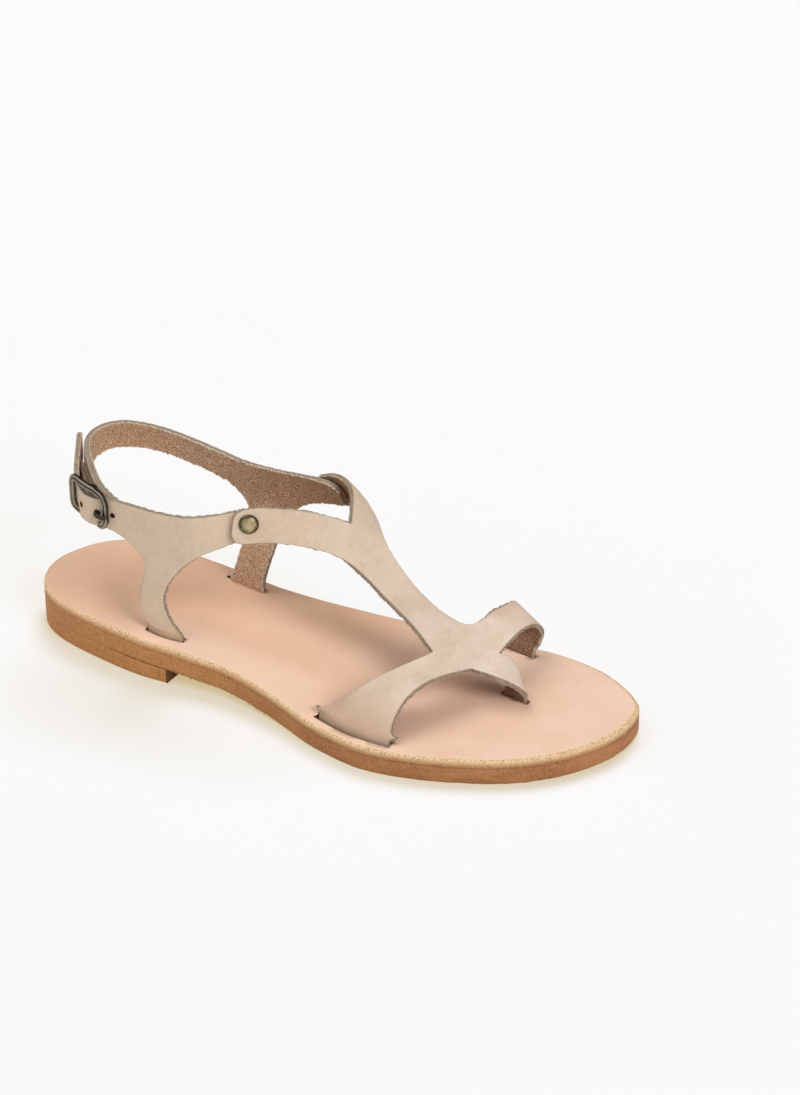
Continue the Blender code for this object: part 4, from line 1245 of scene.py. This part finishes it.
# Half of the centre bar: distance out, distance from its middle
half_bar = ((bar_out, 0.0), (bar_out, 4.8), (bar_out + 0.5, 5.8), (bar_out + 1.6, 6.6),
            (rail_out(BAR_ANGLE) - 0.2, 7.3))
bar_high = bar_mid + FRAME_RAISE
bar_path = [ring(BAR_ANGLE, o, bar_high - up) for o, up in half_bar[:0:-1]]
bar_path += [ring(BAR_ANGLE, o, bar_high + up) for o, up in half_bar]
path = smooth_path(bar_path, False)
centre_bar = swept(path, [BAR_R * 0.9] * len(path), ROUND_SECTION, False, forward)
join_bars("buckle_frame_metal", "buckle_frame", [rails, centre_bar])

# Prong: angle, distance out, radius
PRONG = (
    (14.6, bar_out + 0.8, PRONG_R), (12.4, bar_out + 1.5, PRONG_R), (11.5, 1.2, PRONG_R),
    (11.2, 2.2, PRONG_R), (10.8, 3.1, PRONG_R), (9.6, 3.7, PRONG_R),
    (7.0, 4.0, PRONG_R * 0.95), (4.4, 4.1, PRONG_R * 0.9), (2.6, 3.8, PRONG_R * 0.75),
)
path = smooth_path([ring(t, o, ring_value(FRONT_ROWS, t, 1)) for t, o, r in PRONG], False)
sizes = [hermite(list(range(len(PRONG))), [row[2] for row in PRONG], i / 6.0) for i in range(len(path))]
join_bars("buckle_prong_metal", "buckle_prong", [swept(path, sizes, ROUND_SECTION, False, UP)])

# Holes along the lateral strap, and the rivet that holds the buckle tab
punches = []
quarter_lateral.data.materials.append(shaded_slot_paint)
for angle, hole_r in HOLES:
    spot = ring(angle, ring_value(FRONT_ROWS, angle, 3) - 1.0, ring_value(FRONT_ROWS, angle, 1))
    profile = [(r, h * PUNCH_HALF, 0.0) for r, h in ((0.0, -1), (hole_r, -1), (hole_r, 1), (0.0, 1))]
    punches.append(turned("punch", spot, ring_normal(angle), profile, leather + [shaded_slot_paint], 3, PUNCH_SIDES))
cut_away(quarter_lateral, punches)
spot = tab_line(TAB_RIVET, two_up)
tab_axis = (tab_line(TAB_RIVET - 4.0, two_up) - tab_line(TAB_RIVET + 4.0, two_up)).cross(UP)
rivet("rivet_buckle_brass", "rivet_buckle", spot, tab_axis, two_up + LEATHER, 2.4, 0.5, 0.0, 0.1, 2.4)

# Loose fibres on the straps and under the shank's outer edge
for name, spikes in loose_fibres.items():
    add_fibres(bpy.data.objects[name], spikes, 2, {"edge_mm": 0.0, "across": 1.0})
draw = random.Random(7)
spikes = []
for k in range(SHANK_FIBRES):
    x = draw.uniform(HEEL_BREAST + 1.0, SHANK_END)
    side = edges_at(x)[0] + draw.uniform(0.0, 0.5)
    root = Vector((x, side, top_at(x) - BOARD + draw.uniform(0.05, 0.4)))
    lean = Vector((draw.uniform(-0.8, 0.8), draw.uniform(-0.6, 0.1), draw.uniform(-1.0, -0.1))).normalized()
    reach = draw.uniform(0.4, 1.0) * min(1.0, max(0.0, (root.z - 0.2) / 2.0))
    if reach > 0.15:
        spikes.append(fibre(root + Vector((0.0, 0.2, 0.2)), root + lean * reach, draw.uniform(0.10, 0.22)))
add_fibres(outsole, spikes, 0, {"depth": BOARD, "seam": 0.0})


# Floor, light and camera
WARM = (1.0, 0.93, 0.84)
FOCAL_PX, PHOTO_PX, SENSOR = 3000.0, 1095.0, 36.0
EYE, LOOKS_AT = (522.9, -826.7, 623.5), (-25.2, 103.8, 0.0)


def floor_paint():
    paint = Paint("floor", 0.8, Emission_Color=(1.0, 0.80, 0.46, 1.0), Emission_Strength=0.58)
    paint.base = (0.157, 0.215, 0.321, 1.0)
    paint.patches(180.0, 3.0, 0.5, 0.3, 0.7, (0.159, 0.217, 0.323, 1.0))
    return paint.done()


def floor():
    shape = bpy.data.meshes.new("floor")
    half, cells = 3.0, 12
    marks = [(-half + 2 * half * i / cells, -half + 2 * half * j / cells, 0.0)
             for j in range(cells + 1) for i in range(cells + 1)]
    line = cells + 1
    corners = [j * line + i for j in range(cells) for i in range(cells)]
    quads = [(k, k + 1, k + line + 1, k + line) for k in corners]
    shape.from_pydata(marks, [], quads)
    shape.materials.append(floor_paint())
    made = linked("floor", shape)
    return made


def aim(made, at):
    made.rotation_euler = (Vector(at) - made.location).to_track_quat("-Z", "Y").to_euler()


def sun(name, round_from, up, strength, spread, colour=(1.0, 0.995, 0.985)):
    """A wide, distant softbox: its place round the shoe and above the floor, and its width, in degrees."""
    shape = bpy.data.lights.new(name, "SUN")
    shape.energy = strength
    shape.angle = radians(spread)
    shape.color = colour
    made = linked(name, shape)
    turn, rise = radians(round_from), radians(up)
    made.location = (cos(turn) * cos(rise), sin(turn) * cos(rise), sin(rise))
    aim(made, (0.0, 0.0, 0.0))
    return made


ground = floor()
world = bpy.data.worlds.new("studio")
world.use_nodes = True
world.node_tree.nodes["Background"].inputs["Color"].default_value = (*WARM, 1.0)
world.node_tree.nodes["Background"].inputs["Strength"].default_value = 0.10
bpy.context.scene.world = world
sun("toe_side", 340.0, 36.0, 1.88, 28.0)
sun("left_side", 225.0, 32.0, 0.62, 50.0, WARM)
sun("heel_side", 180.0, 62.0, 1.1, 38.0)
sun("above", 300.0, 72.0, 0.45, 60.0, WARM)
floor_only = bpy.data.collections.new("floor_only")
floor_only.objects.link(ground)
sun("over_floor", 105.0, 58.0, 3.9, 32.0).light_linking.receiver_collection = floor_only
bpy.context.scene.view_settings.view_transform = "Standard"
bpy.context.scene.view_settings.look = "None"

eye = bpy.data.cameras.new("camera")
eye.lens = FOCAL_PX / PHOTO_PX * SENSOR
eye.sensor_width = SENSOR
eye.clip_start, eye.clip_end = 0.05, 20.0
camera = linked("camera", eye)
camera.location = place(EYE)
aim(camera, place(LOOKS_AT))
bpy.context.scene.camera = camera

bpy.context.view_layer.update()
